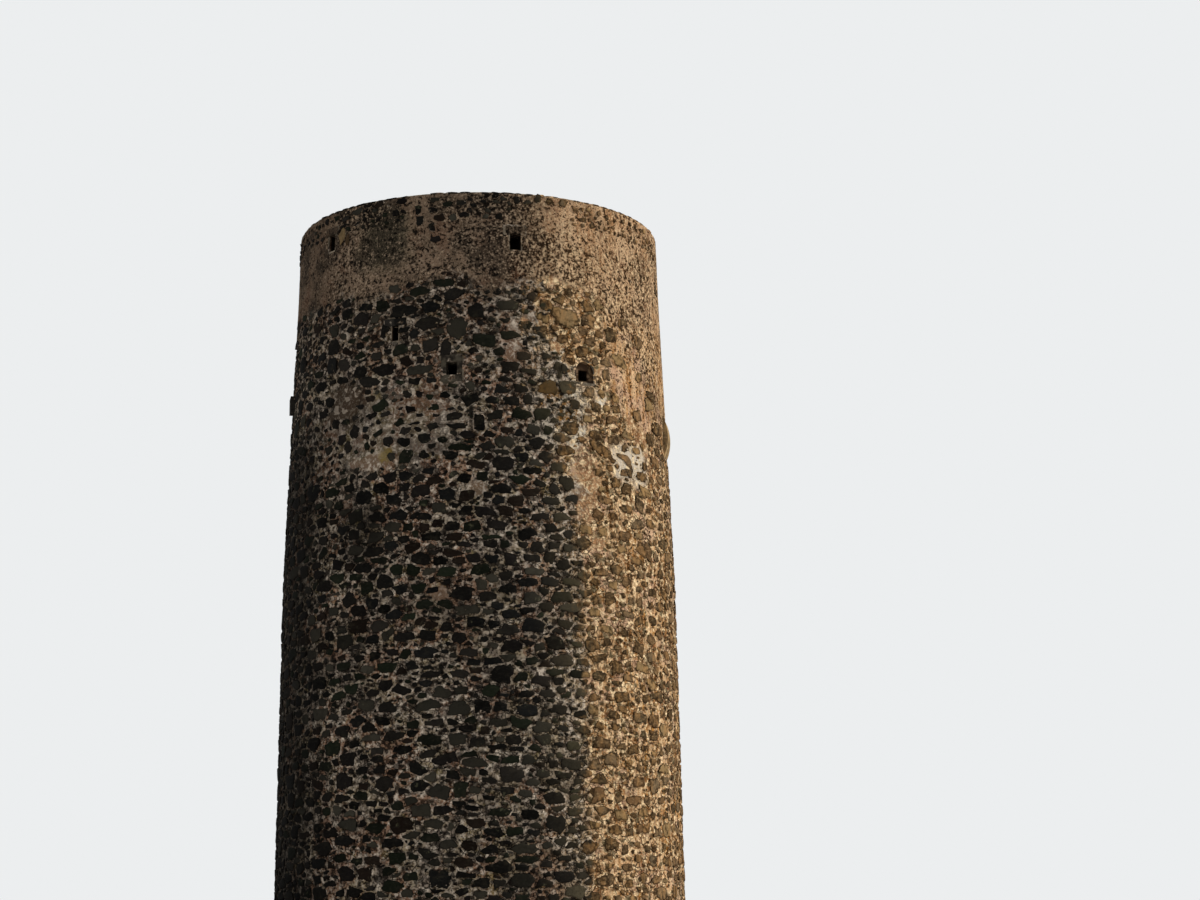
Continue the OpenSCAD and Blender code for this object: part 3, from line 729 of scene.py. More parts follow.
class Bench:
    """One node tree, with a single method that adds any node."""

    def __init__(self, tree):
        self.tree = tree

    def add(self, kind, settings=None, values=None, out=0):
        """Wires are linked, and other values are set. A string that starts with # is a written colour."""
        node = self.tree.nodes.new(kind)
        for name, value in (settings or {}).items():
            setattr(node, name, value)
        for key, value in (values or {}).items():
            if isinstance(value, Wire):
                self.tree.links.new(value.socket, node.inputs[key])
            else:
                written = isinstance(value, str) and value.startswith("#")
                node.inputs[key].default_value = paint(value) if written else value
        return Wire(self, node.outputs[out]) if len(node.outputs) else None

    def maths(self, operation, *values):
        return self.add("ShaderNodeMath", {"operation": operation}, dict(enumerate(values)))

    def vector(self, operation, first, **others):
        """Vector maths. The second vector is called by, and a plain number is called Scale."""
        values = {1 if key == "by" else key: value for key, value in others.items()}
        return self.add("ShaderNodeVectorMath", {"operation": operation}, {0: first, **values})

    def mix(self, factor, first, second):
        """Colour between two colours. Sockets 6 and 7 of a Mix node are its colours."""
        values = {0: factor, 6: first, 7: second}
        return self.add("ShaderNodeMix", {"data_type": "RGBA", "clamp_factor": True}, values, 2)

    def coats(self, colour, *layers):
        """Coat over coat. Each layer is how much of it lies at a place, and its colour."""
        for share, over in layers:
            colour = self.mix(share, colour, over)
        return colour

    def place(self, stretch=EVEN):
        """Object coordinates in metres, multiplied by a stretch."""
        return self.vector("MULTIPLY", self.add("ShaderNodeTexCoord", out="Object"), by=stretch)

    def noise(self, scale, detail=3.0, rough=0.6, stretch=EVEN, at=None):
        values = {"Vector": at or self.place(stretch), "Scale": scale, "Detail": detail, "Roughness": rough}
        return self.add("ShaderNodeTexNoise", {}, values)

    def cells(self, scale, out="Distance", stretch=EVEN, at=None):
        return self.add("ShaderNodeTexVoronoi", {}, {"Vector": at or self.place(stretch), "Scale": scale}, out)

    def cell_edge(self, scale, stretch=EVEN, at=None):
        """How far the nearest border between two cells is."""
        values = {"Vector": at or self.place(stretch), "Scale": scale}
        return self.add("ShaderNodeTexVoronoi", {"feature": "DISTANCE_TO_EDGE"}, values)

    def attribute(self, name, out="Fac"):
        return self.add("ShaderNodeAttribute", {"attribute_name": name}, {}, out)

    def most(self, first, *others):
        """The largest of several values."""
        for other in others:
            first = first.math("MAXIMUM", other)
        return first

    def split(self, vector):
        parts = self.add("ShaderNodeSeparateXYZ", {}, {0: vector}).socket.node
        return [Wire(self, parts.outputs[i]) for i in range(3)]

    def join(self, x, y, z):
        return self.add("ShaderNodeCombineXYZ", {}, {0: x, 1: y, 2: z})


print("a bench can:", [name for name in vars(Bench) if not name.startswith("_")])

# %% [markdown]
# ## Where each stain, and each painted sunlight or shade, lies
#
# The sunny side of the real wall carries an ochre wash, and its mask also carries painted sunlight: its sharp edge is
# partly a painted line between sun and shade. Beside it lies more painted sunlight, painted shade darkens the left
# side, and damp, dark marks, moss and lime splashes mark the rest. All of it follows the wall: it depends on the
# bearing and the height, which come from Object coordinates. So the pattern stays on the wall from every side. Marks
# that the photograph shows are placed by pixel, and noise frays every edge.

# %% Masks on the wall
# Patches that show in the photograph: pixel of the middle, degrees to its left and right, metres below and above it,
# and how softly they end, in degrees and metres.
PATCHES = {
    "lime": ((632, 461), 8, 9, 0.34, 0.28, 3.0, 0.12),
    "scar": ((566, 415), 9, 7, 0.55, 0.80, 3.0, 0.20),
    "rust": ((512, 278), 1.5, 1.5, 0.45, 0.30, 2.0, 0.18),
    "blush": ((512, 345), 2.6, 2.6, 0.55, 0.50, 1.6, 0.15),
    "damp": ((357, 530), 9, 7, 0.55, 0.45, 5.0, 0.25),
    "moss": ((385, 243), 9, 8, 0.35, 0.55, 5.0, 0.25),
    "umber": ((345, 403), 7.5, 7.5, 0.42, 0.36, 2.0, 0.12),
    "disc": ((386, 455), 1.6, 1.6, 0.09, 0.09, 1.0, 0.05)}
# Marks that come in groups: how softly they end, then the middle in pixels and half the width and height of each.
MARKS = {
    "splash": (1.2, 0.06, [((576, 444), 1.5, 0.10), ((597, 403), 1.9, 0.16), ((583, 431), 1.2, 0.08),
                           ((573, 469), 1.4, 0.12), ((570, 393), 1.6, 0.07)]),
    "ember": (1.4, 0.08, [((552, 392), 2.4, 0.14), ((566, 413), 1.9, 0.16), ((545, 404), 1.5, 0.09)]),
    # Dark marks near the front slot and under the rim.
    "soot": (2.6, 0.16, [((505, 262), 6.0, 0.42), ((553, 248), 3.4, 0.22), ((455, 205), 9.0, 0.10),
                         ((530, 202), 5.0, 0.12), ((330, 206), 7.0, 0.12)])}
SUN_ENDS = 165.0, 118.0                 # the sunny side fades out between these bearings


def spot(b, h, pixel, left, right, below, above, soft_b, soft_h):
    middle_b, middle_z = wall_at(*pixel)
    return b.within(middle_b - left, middle_b + right, soft_b) * h.within(middle_z - below, middle_z + above, soft_h)


def wall_masks(bench):
    """Wires that say how much of each stain, painted sunlight and painted shade lies at a place. The letters b and h
    are a frayed bearing and height.
    """
    x, y, z = bench.split(bench.place())
    wander, fray = bench.noise(1.1, 4.0, 0.65) - 0.5, bench.noise(7.0, 3.0, 0.6) - 0.5
    bearing = x.math("ARCTAN2", y * -1.0) * math.degrees(1.0)
    b, h = bearing + wander * 14.0 + fray * 7.0, z + wander * 0.6 + fray * 0.35
    upper, outer = z.ramp(7.2, 8.2), (x * x + y * y).math("SQRT").ramp(2.50, 2.84)
    edge_bend = (bench.noise(0.75, 2.0, 0.5) - 0.5) * (upper * 10.0 + 6.0)
    # The wash begins past this edge, which is partly a painted line between sun and shade.
    wash_edge = 29.5 - z.ramp(8.30, 8.75) * 12.0 - z.within(6.7, 7.5, 0.2) * 6.0 + edge_bend
    past_edge = (bearing - wash_edge) + fray * (upper * 26.0 + 15.0) + wander * 9.0
    wash = past_edge.ramp(-2.4, 2.4) * b.ramp(*SUN_ENDS) * outer
    masks = {
        "wash": wash, "height": z, "bearing": bearing, "fray": fray,
        # Painted sunlight beside the wash, where the wall turns towards the light.
        "sunward": (bearing + upper * 10.0).ramp(12.0, 33.0) * bearing.ramp(*SUN_ENDS) * outer,
        "rough": bench.noise(1.6, 3.0, 0.6).ramp(0.40, 0.60),
        "grime": bench.noise(0.85, 5.0, 0.62).ramp(0.49, 0.58) * (1.0 - wash) * bench.most(h.ramp(7.0, 6.6), 0.4),
        # Painted shade near the left edge, stronger low down.
        "gloom": b.ramp(-38.0, -62.0) * b.ramp(-135.0, -88.0) * (h.ramp(8.6, 7.0) * 0.75 + 0.25),
        "calm": b.within(-48, -9, 8.0) * h.within(6.85, 8.05, 0.22)}
    for name, patch in PATCHES.items():
        masks[name] = spot(b, h, *patch)
    for name, (soft_b, soft_h, marks) in MARKS.items():
        masks[name] = bench.most(*[spot(b, h, pixel, wide, wide, tall, tall, soft_b, soft_h)
                                   for pixel, wide, tall in marks])
    return masks


print("patches:", list(PATCHES), "marks:", {name: len(marks) for name, (_, _, marks) in MARKS.items()})

# %% [markdown]
# ## Mortar and render
#
# Lime mortar is a pinkish grey full of crumbs, chips and lime lumps. The render is browner and pitted, more in some
# patches than in others. On the sunny side both are covered by an ochre wash that rain has drawn into streaks, and
# there they are also painted lighter as sunlight. Small stones in the mortar are cells of a Voronoi pattern that noise
# has shaken, because even cells would look like a net.
# The render's place comes from an attribute of the skin, so that colour and relief agree.


# %% Broken stones and the ochre wash
def rubble_fill(bench, scale, stretch):
    """Small broken stones packed in mortar: three lots for each, and how far its edge is."""
    values = {"Vector": bench.place(), "Scale": scale * 0.9, "Detail": 1.0}
    shaken = bench.add("ShaderNodeTexNoise", {}, values, "Color")
    at = bench.vector("ADD", bench.place(stretch), by=bench.vector("SCALE", shaken, Scale=0.8 / scale))
    edge = bench.cell_edge(scale, at=at) + (bench.noise(60.0, 2.0) - 0.5) * 0.05
    return bench.split(bench.cells(scale, "Color", at=at)), edge


def ochre_wash(bench, masks, streaks):
    """The ochre wash of the sunny side, painted lighter as sunlight, which rain has drawn into streaks."""
    drips = bench.noise(8.0, 3.0, 0.6, (1.0, 1.0, 0.10)).ramp(0.53, 0.62) * masks["bearing"].ramp(36.0, 52.0)
    return bench.coats(
        bench.mix(streaks.ramp(0.38, 0.62), "#b07e4a", "#eec698"),
        (bench.noise(3.1, 4.0, 0.6, (1.0, 1.0, 0.35)).ramp(0.54, 0.64) * 0.85, "#7f532f"),
        (bench.noise(2.2, 4.0).ramp(0.52, 0.62) * 0.8, "#d3ab8c"),
        (bench.noise(4.5, 3.0).ramp(0.58, 0.66) * 0.6, "#877c60"),
        (drips * 0.75, bench.mix(bench.noise(2.5, 2.0).ramp(0.45, 0.55), "#8f5526", "#c98a3a")))


print("helpers:", rubble_fill.__name__, ochre_wash.__name__)

# %% [markdown]
# ## Render on the head
#
# The render is a coat of its own: painted brown as shade and tan as sunlight, with an ochre foot where the wash
# reaches up to it. Dirt lies on it in patches, dark marks lie under the rim, and fine and coarse pits bite deeper where
# the weather has worn it.


# %% Colour and relief of the render
def render_over(bench, masks, broad, streaks, ochre):
    """Colour and relief of the render: brown as painted shade, tan as painted sunlight, pitted, and dark under the rim.
    """
    bearing, moss = masks["bearing"], masks["moss"]
    # Painted sunlight: from the front towards the lit side the render turns tan.
    sunny = bearing.ramp(2.0, 34.0) * bearing.ramp(*SUN_ENDS)
    tan = bench.coats(
        bench.mix(streaks.ramp(0.34, 0.62), "#a97f58", "#cfab85"),
        (bench.noise(2.6, 4.0).ramp(0.53, 0.64) * 0.7, "#96694a"))
    dirt = bench.most((bench.noise(1.3, 5.0, 0.65) + moss * 0.14).ramp(0.50, 0.60), masks["soot"])
    worn_away = bench.noise(0.9, 5.0, 0.62).ramp(0.40, 0.58) * bearing.ramp(-62.0, -42.0)
    bite = worn_away * 0.052 - 0.030 + sunny * 0.010
    crust, small_crust = bench.noise(15.0, 4.0, 0.66), bench.noise(29.0, 2.0, 0.6)
    # Hollows are pits painted dark, partly with the shade in them; lips are their edges painted pale, partly as
    # highlights.
    hollows_and_shade = bench.most((crust - bite).ramp(0.445, 0.395), (small_crust - bite).ramp(0.42, 0.375))
    lips_and_highlights = bench.most((crust + bite).ramp(0.56, 0.62), (small_crust + bite).ramp(0.57, 0.63))
    colour = bench.coats(
        bench.mix(broad.ramp(0.36, 0.62), "#73614f", "#947d67"),
        # darker towards the left edge
        (bearing.ramp(-46.0, -64.0) * 0.35, "#4a3b30"),
        (bench.noise(1.4, 3.0).ramp(0.50, 0.64) * 0.7, "#6f5442"),
        (sunny, tan),
        (masks["height"].ramp(9.50, 9.15) * masks["wash"] * 0.85, ochre),
        (moss * 0.75, "#52523f"),
        (masks["rust"] * 0.7, "#8e583a"),
        # the same dirt, painted darker in shade and lighter in sunlight
        (dirt * (1.0 - sunny) * 0.8, "#352e26"),
        (dirt * sunny * 0.5, "#6b543c"),
        (lips_and_highlights * 0.62, bench.mix(sunny, "#bfa68b", "#f3d3a6")),
        (hollows_and_shade * 0.94, bench.mix(sunny, "#0f0c0a", "#2a1c0e")))
    return colour, lips_and_highlights * 0.6 - hollows_and_shade * 1.3


print("helper:", render_over.__name__)

# %% [markdown]
# ## Mortar, coat by coat
#
# The coats lie in the order in which they came: lime of several batches, washes, splashes, the small stones in it, and
# last its cracks and pits, which are darkened partly as painted shade, while the lips of the pits are lightened partly
# as painted highlights. The relief is worked out from the same patterns, so a dark pit is also a deep one.


# %% Colour and relief of the mortar
def mortar_look(bench, masks, cover=None):
    """Colour and height of mortar. With a cover, render lies over it."""
    wash, scar, calm, splash = masks["wash"], masks["scar"], masks["calm"], masks["splash"]
    # Shaded is the wall away from the painted sunlight.
    level, shaded = masks["height"], 1.0 - masks["sunward"]
    broad, streaks = bench.noise(2.3, 4.0), bench.noise(6.0, 5.0, 0.7, (1.0, 1.0, 0.20))
    ochre = ochre_wash(bench, masks, streaks)

    # Where mortar hides the stones, and where the face is even, the small stones and the pits fade.
    bare = (bench.attribute("bare") + masks["fray"]).ramp(0.35, 0.65)
    still = (1.0 - calm * 0.65) * (1.0 - masks["lime"] * 0.85) * (1.0 - bare * (0.8 - wash * 0.35)) * (1.0 - splash)
    lots, edge = rubble_fill(bench, 11.0, (1.0, 1.0, 1.35))
    crumbs = 1.0 - wash * 0.6
    dark_stone = (lots[0] + wash * 0.07 < 0.20) * edge.ramp(0.07, 0.13) * still
    stone_tone = bench.mix(wash, bench.mix(lots[2], "#12100e", "#2c2823"), bench.mix(lots[2], "#3a2c19", "#6b6146"))
    # Cracks round the small stones, painted dark as a crack with painted shade in it.
    crack = edge.ramp(0.085, 0.02) * bench.noise(4.0, 3.0).ramp(0.40, 0.56) * still
    grit, small_grit = bench.noise(12.5, 5.0, 0.60), bench.noise(27.0, 4.0, 0.62)
    # Pits are darkened partly as the shade in the hollows, lips lightened partly as highlights on the lime lumps.
    pits_and_shade = bench.most(grit.ramp(0.470, 0.395), small_grit.ramp(0.44, 0.36)) * still
    pits_and_shade = pits_and_shade * (1.0 - wash * (1.0 - masks["rough"]) * 0.8)
    lips_and_highlights = bench.most(grit.ramp(0.52, 0.61), small_grit.ramp(0.54, 0.63)) * (1.0 - masks["grime"] * 0.75)
    lips_and_highlights = lips_and_highlights * (1.0 - level.ramp(7.9, 8.5) * shaded * 0.35) * (1.0 - calm * 0.25) * (1.0 - masks["umber"] * 0.75)

    # Where a coat has a second colour under the wash, that colour is lighter partly as painted sunlight.
    colour = bench.coats(
        bench.mix(broad.ramp(0.40, 0.62), "#a09080", "#ae9b7d"),
        (bench.noise(1.9, 4.0).ramp(0.49, 0.58) * 0.8, "#aa8064"),
        (bench.noise(2.9, 4.0).ramp(0.57, 0.66) * 0.7, "#90804f"),
        # painted sunlight beside the wash
        (masks["sunward"] * 0.8, bench.mix(bench.noise(3.3, 4.0).ramp(0.42, 0.56), "#a98a64", "#cdb491")),
        # browner below the render, except where the painted sunlight lies
        (level.ramp(8.0, 8.9) * shaded * 0.6, "#6b5745"),
        (calm * 0.48, "#2a251f"),
        (masks["grime"] * 0.42, "#2b241d"),
        (wash, ochre),
        (masks["blush"] * 0.8, "#a67d63"),
        (masks["lime"] * 0.9, "#cfc4b2"),
        (scar * bench.noise(7.0, 4.0).ramp(0.40, 0.50) * 0.9, "#d2c5b0"),
        (splash * bench.noise(9.0, 3.0).ramp(0.36, 0.46), "#d9cfbd"),
        (scar * bench.noise(5.0, 3.0).ramp(0.56, 0.64) * 0.8, "#8c6b42"),
        (masks["ember"] * bench.noise(12.0, 3.0).ramp(0.36, 0.50), "#a8752f"),
        (bare * 0.8, bench.mix(wash, "#7a6350", "#b0845f")),
        (masks["umber"] * 0.85, "#342b22"),
        ((lots[1] < 0.40) * 0.35 * still * crumbs, bench.mix(wash, "#3b342d", "#6f4f2c")),
        ((lots[1] > 0.80) * 0.55 * crumbs, bench.mix(wash, "#b7a896", "#ecd0a2")),
        (dark_stone * 0.92, stone_tone),
        (lips_and_highlights * (1.0 - dark_stone * 0.8) * 0.75, bench.mix(wash, "#dfd0bc", "#ffe3b4")),
        (crack * 0.9, bench.mix(wash, "#0f0c0a", "#2c1c0c")),
        (pits_and_shade * 0.85, bench.mix(wash, "#15110e", "#38240f")))
    height = bench.noise(13.0, 3.0, 0.6) * 0.6 + lips_and_highlights * 0.5 + dark_stone * 0.4 - pits_and_shade - crack * 1.1
    if cover is not None:
        render, relief = render_over(bench, masks, broad, streaks, ochre)
        colour = bench.mix(cover, colour, render)
        height = height + (relief - height * 0.7) * cover
    # Last come damp stains, painted shade near the left edge, and a yellowish disc.
    colour = bench.coats(
        colour, (masks["damp"] * 0.6, "#1a1714"), (masks["gloom"] * 0.82, "#171512"), (masks["disc"] * 0.8, "#86733f"))
    return colour, height


def finished(name, look, rough=0.92, bump=1.0, depth=0.012):
    """A material from a look, which is a function that gives a colour and a height."""
    material = bpy.data.materials.new(name)
    material.use_nodes = True
    material.node_tree.nodes.clear()
    bench = Bench(material.node_tree)
    colour, height = look(bench)
    relief = bench.add("ShaderNodeBump", {}, {"Strength": bump, "Distance": depth, "Height": height})
    surface = bench.add("ShaderNodeBsdfPrincipled", {}, {
        "Base Color": colour, "Roughness": rough, "Specular IOR Level": 0.02, "Normal": relief})
    bench.add("ShaderNodeOutputMaterial", {}, {"Surface": surface})
    return material


def skin_look(bench):
    return mortar_look(bench, wall_masks(bench), bench.attribute("cover"))


skin_mortar = finished("skin_mortar", skin_look, depth=0.024)
print("made", skin_mortar.name)

# %% [markdown]
# ## Facing stone
#
# The stone is dark and fine-grained, from brown-black to grey and olive. Each stone carries its own tone as an
# attribute. The skirt attribute runs from 0 at the joint to 1 on the crown: mortar smeared over the edge of a stone
# is painted where the skirt is low, with a dark fringe inside it, partly a crack and partly a painted contact shadow,
# so no outline looks cut with a knife. The sides of the stones carry painted shade, and under the wash and beside it
# the stones are painted lighter, partly as sunlight.


# %% Colour and relief of the stones
def stone_look(bench):
    masks = wall_masks(bench)
    wash, cover = masks["wash"], bench.attribute("cover")
    mortar, _ = mortar_look(bench, masks, cover)
    tone, skirt, lot = bench.attribute("tone", "Color"), bench.attribute("skirt"), bench.attribute("lot")
    second_lot = (lot * 7.3).math("FRACT")
    grain, mottle = bench.noise(55.0, 4.0, 0.75), bench.noise(9.0, 4.0, 0.65)
    scratch = bench.noise(14.0, 5.0, 0.75, (1.0, 1.0, 2.6))
    # Under the wash the stones are painted lighter and browner, partly as the wash and partly as sunlight.
    washed = bench.coats(
        bench.mix(second_lot, "#674d33", "#6c5c46"),
        (lot.ramp(0.45, 0.75) * 0.8, "#3a2f1f"),
        (lot.ramp(0.18, 0.08) * 0.7, "#9a7f56"),
        (scratch.ramp(0.52, 0.62) * 0.6, "#9e815b"))
    dust = bench.noise(6.0, 5.0, 0.7, (1.0, 1.0, 0.4)).ramp(0.46, 0.62)
    lichen = bench.noise(4.2, 4.0, 0.7).ramp(0.62, 0.69) * bench.noise(26.0, 2.0).ramp(0.42, 0.55)
    # Painted shade on the sides of each stone, where it sinks into the mortar.
    crevice_shade = (skirt + (bench.noise(11.0, 3.0) - 0.5) * 0.35).ramp(0.38, 0.22)
    ragged = skirt + (bench.noise(10.0, 4.0, 0.62) - 0.5) * 3.6 - wash * 0.10 - cover.within(0.15, 0.8, 0.15) * 0.45
    # The fringe inside the smear is partly a crack and partly a painted contact shadow.
    smear, crack_and_edge_shadow = ragged.ramp(0.26, 0.12), ragged.ramp(1.05, 0.34)
    colour = bench.coats(
        tone,
        # painted sunlight on the stones beside the wash
        (masks["sunward"] * (second_lot * 0.55 + 0.2), bench.mix(lot, "#2f2a20", "#645a44")),
        (wash, washed),
        (scratch.ramp(0.50, 0.66) * 0.35, bench.mix(wash, "#36332d", "#957a57")),
        (mottle.ramp(0.52, 0.72) * 0.35, bench.mix(wash, "#3a352a", "#896e4c")),
        (grain.ramp(0.54, 0.68) * 0.5, bench.mix(wash, "#080706", "#2b2010")),
        (wash * dust * 0.45, "#ac8252"),
        (lichen * 0.4, "#6c6a52"),
        (crevice_shade * 0.9, bench.mix(wash, "#060504", "#241806")),
        (crack_and_edge_shadow * (wash * 0.55 + 0.3), bench.mix(wash, "#060504", "#1f150a")),
        (smear, mortar),
        # damp stains, then painted shade near the left edge
        (masks["damp"] * 0.6, "#0e0c0b"),
        (masks["gloom"] * 0.6, "#0d0c0b"))
    return colour, mottle * 0.4 + grain * 0.4 + smear * 0.3 - crevice_shade * 0.4


facing_stone = finished("facing_stone", stone_look, rough=0.86, depth=0.016)
print("made", facing_stone.name)

# %% [markdown]
# ## Tones for single stones
#
# A wall of one colour looks like plastic. Each stone draws its tone from a short list and is then made a little
# lighter or darker. It also draws a lot between 0 and 1, from which the material finds its tone under the wash.

# %% Drawing a tone
STONE_TONES = ["#12110f", "#171513", "#181817", "#1c1a17", "#191b14", "#1e1712", "#24211d", "#1a1715", "#151412",
               "#2a2822", "#1b1f16", "#37342c"]
CHIP_TONES = ["#1d1a17", "#2b2721", "#3b342b", "#4d443a", "#5f5145", "#6d5b4b", "#7b6a58"]


def tone_for(dice, tones=STONE_TONES):
    tone, level = paint(dice.choice(tones)), dice.uniform(0.6, 1.4)
    return [min(1.0, channel * level) for channel in tone[:3]] + [1.0]


print("tones:", len(STONE_TONES), "for stones and", len(CHIP_TONES), "for chips")

# %% [markdown]
# ## From outlines to solid stones
#
# All stones of one height band are one mesh, which keeps the file light and lets each band be looked at by itself. One
# helper makes every mesh here and stores its attributes: tone, skirt, lot and the cover of render.


# %% A mesh with attributes
def mesh_object(name, corners, faces, material, **numbers):
    """A smooth mesh. Each list of numbers becomes an attribute, and lists of four numbers are colours."""
    mesh = bpy.data.meshes.new(name)
    mesh.from_pydata(corners, [], faces)
    for key, values in numbers.items():
        values = np.asarray(values, dtype=np.float32)
        layer = mesh.attributes.new(key, "FLOAT_COLOR" if values.ndim == 2 else "FLOAT", "POINT")
        layer.data.foreach_set("color" if values.ndim == 2 else "value", values.ravel())
    mesh.polygons.foreach_set("use_smooth", [True] * len(mesh.polygons))
    if material:
        mesh.materials.append(material)
    piece = bpy.data.objects.new(name, mesh)
    bpy.context.scene.collection.objects.link(piece)
    return piece


def triangle_count(piece):
    return sum(len(p.vertices) - 2 for p in piece.data.polygons)


print("attributes: colours have four numbers, other values one")

# %% [markdown]
# ## Stones in rings
#
# A stone is a stack of rings: one sunk in the mortar, one at its shoulder and one or two drawn in towards the
# crown. The crown is tilted a little, as no mason gets every face into one plane.

# %% Building a band of stones
SKIN_LIFT, RENDER_LIFT = 0.008, 0.013
STONE_SUNK, SHOULDER, BUMPS = 0.004, 0.007, 0.0022
LEAST_PROUD, PROUD_SHARE = (0.006, 0.014), 0.05
WIDE_STONE, RENDERED_FROM = 0.10, 7.0


def skin_level(x, z):
    return SKIN_LIFT + RENDER_LIFT * render_cover(x, z)


def rings_of(stone, base, proud):
    """Scale, rise and skirt of each ring: sunk in the mortar, at the shoulder, and one or two towards the crown."""
    span = math.sqrt(stone["a"] * stone["c"])
    rings = [(1.0, -base - STONE_SUNK, 0.0), (1.0 - min(0.2, SHOULDER / span), 0.55 * proud, 0.25),
             (0.80, 0.92 * proud, 0.75)]
    return rings + [(0.50, 1.02 * proud, 1.0)] if stone["a"] > WIDE_STONE else rings


def stone_mesh(name, stones, place, dice, level=skin_level, facing_out=True):
    """One mesh of many stones. Those of the outer face stay above the ground, and render may cover them."""
    corners, faces, tones, skirts, lots, covers = [], [], [], [], [], []
    outer_face = level is skin_level
    for stone in stones:
        x, z, outline, start = stone["x"], stone["z"], stone["outline"], len(corners)
        count, base = len(outline), level(x, z)
        proud = dice.uniform(*LEAST_PROUD) + PROUD_SHARE * math.sqrt(stone["a"] * stone["c"])
        lean_x, lean_z = dice.gauss(0, 0.035), dice.gauss(0, 0.045)
        rings = rings_of(stone, base, proud)
        tone, lot = tone_for(dice), dice.random()
        if stone.get("tone"):
            tone = list(paint(stone["tone"]))
        for scale, rise, skirt in rings:
            for u, v in outline:
                bumpy = dice.uniform(-BUMPS, BUMPS) + lean_x * u * scale + lean_z * v * scale if rise > 0 else 0.0
                level_here = max(z + v * scale, z_foot) if outer_face else z + v * scale
                corners.append(place(x + u * scale, level_here, base + rise + bumpy))
                skirts.append(skirt)
        corners.append(place(x, z, base + 1.04 * proud))
        skirts.append(1.0)
        added = len(corners) - start
        may_be_covered = outer_face and z > RENDERED_FROM and not stone.get("given")
        tones += [tone] * added
        lots += [lot] * added
        covers += [render_cover(x, z) if may_be_covered else 0.0] * added
        for r in range(len(rings) - 1):
            low, high = start + r * count, start + (r + 1) * count
            for i in range(count):
                k = (i + 1) % count
                faces.append((low + i, low + k, high + k, high + i))
        last, top = start + (len(rings) - 1) * count, len(corners) - 1
        faces += [(last + i, last + (i + 1) % count, top) for i in range(count)]
        faces.append(tuple(range(start + count - 1, start - 1, -1)))
    if not facing_out:
        faces = [face[::-1] for face in faces]
    return mesh_object(name, corners, faces, facing_stone, tone=tones, skirt=skirts, lot=lots, cover=covers)


BAND_TOPS = [("facing_stones_foot", 2.9), ("facing_stones_middle", 6.1), ("facing_stones_chamber", 8.3),
             ("facing_stones_head", 99.0)]
pieces, below = [], 0.0
for band, top in BAND_TOPS:
    chosen = [s for s in facing if below <= s["z"] < top]
    piece = stone_mesh(band, chosen, on_wall, dice)
    pieces.append((piece, "rubble_facing"))
    print(band, len(chosen), "stones,", triangle_count(piece), "triangles")
    below = top

# %% [markdown]
# ## The wall seen from the terrace
#
# On the terrace the same masonry shows again: on the inner face of the parapet, and on its top, where flat stones lie
# in lime. Both are laid on a sheet of their own that closes on itself, and one more function bends each sheet.

# %% Inner face and wall head
HEAD_MIDDLE, HEAD_HALF = (terrace_radius + rim_radius) / 2, (rim_radius - terrace_radius) / 2
STEP_BACK, INNER_DEEP = 0.3, 0.03
AROUND = ((0, 0), (1, 0), (-1, 0), (0, 1), (0, -1))


def on_inner_face(x, z, lift):
    bearing, radius = x / terrace_radius, terrace_radius - lift
    return (radius * math.sin(bearing), -radius * math.cos(bearing), z)


def on_wall_head(x, z, lift):
    bearing, radius = x / HEAD_MIDDLE, HEAD_MIDDLE + z
    return (radius * math.sin(bearing), -radius * math.cos(bearing), z_rim + lift)


def inner_mouth(x, z):
    """True where a slot opens on the inner face, or in an open joint of the rim."""
    bearing = x / terrace_radius
    outward = Vector((math.sin(bearing), -math.cos(bearing), 0.0))
    start = Vector((0.0, 0.0, z)) + outward * (terrace_radius - STEP_BACK)
    return shell.ray_cast(start, outward, STEP_BACK + INNER_DEEP)[0] is None


def never(x, z):
    return False


def lay_sheet(girth, low, high, sizes, tries, spacing, blocked):
    sheet = Layout(girth)
    small, large = sizes
    for attempt in range(tries):
        x, z = chance.uniform(0.0, girth), chance.uniform(low, high)
        a = (small + (large - small) * chance.random()) * (1.0 - 0.6 * attempt / tries)
        stone = drawn_stone(x, z, a, (1.2, 2.1), 0.12)
        stone["joint"] = chance.uniform(0.01, 0.026)
        c = stone["c"]
        if low + c < z < high - c and sheet.fits(stone, spacing):
            if not any(blocked(x + u * 1.2 * a, z + v * 1.2 * c) for u, v in AROUND):
                sheet.add(stone)
    return sheet


SHEETS = [("parapet_inner_stones", on_inner_face, 2 * math.pi * terrace_radius, z_deck + 0.02, z_rim - 0.13,
           (0.08, 0.17), 5000, 0.93, inner_mouth),
          ("wall_head_stones", on_wall_head, 2 * math.pi * HEAD_MIDDLE, 0.04 - HEAD_HALF, HEAD_HALF - 0.22,
           (0.08, 0.19), 4000, 1.0, never)]
laid_sheets = []
for name, place, *rule in SHEETS:
    sheet = lay_sheet(*rule)
    laid_sheets.append((name, shape_outlines(sheet, sheet.stones, dice, place), place))
for name, stones, place in laid_sheets:
    piece = stone_mesh(name, stones, place, dice, lambda x, z: 0.0, facing_out=False)
    pieces.append((piece, "rubble_facing"))
    print(name, len(stones), "stones,", triangle_count(piece), "triangles")

# %% [markdown]
# ## Mortar skin, rolled by Geometry Nodes
#
# The mortar is one sheet that follows the leaning face. A flat sheet is made first, with the bearing along it and the
# height up it, and a geometry tree then bends it. The helpers here open a tree, close it, and keep its result.


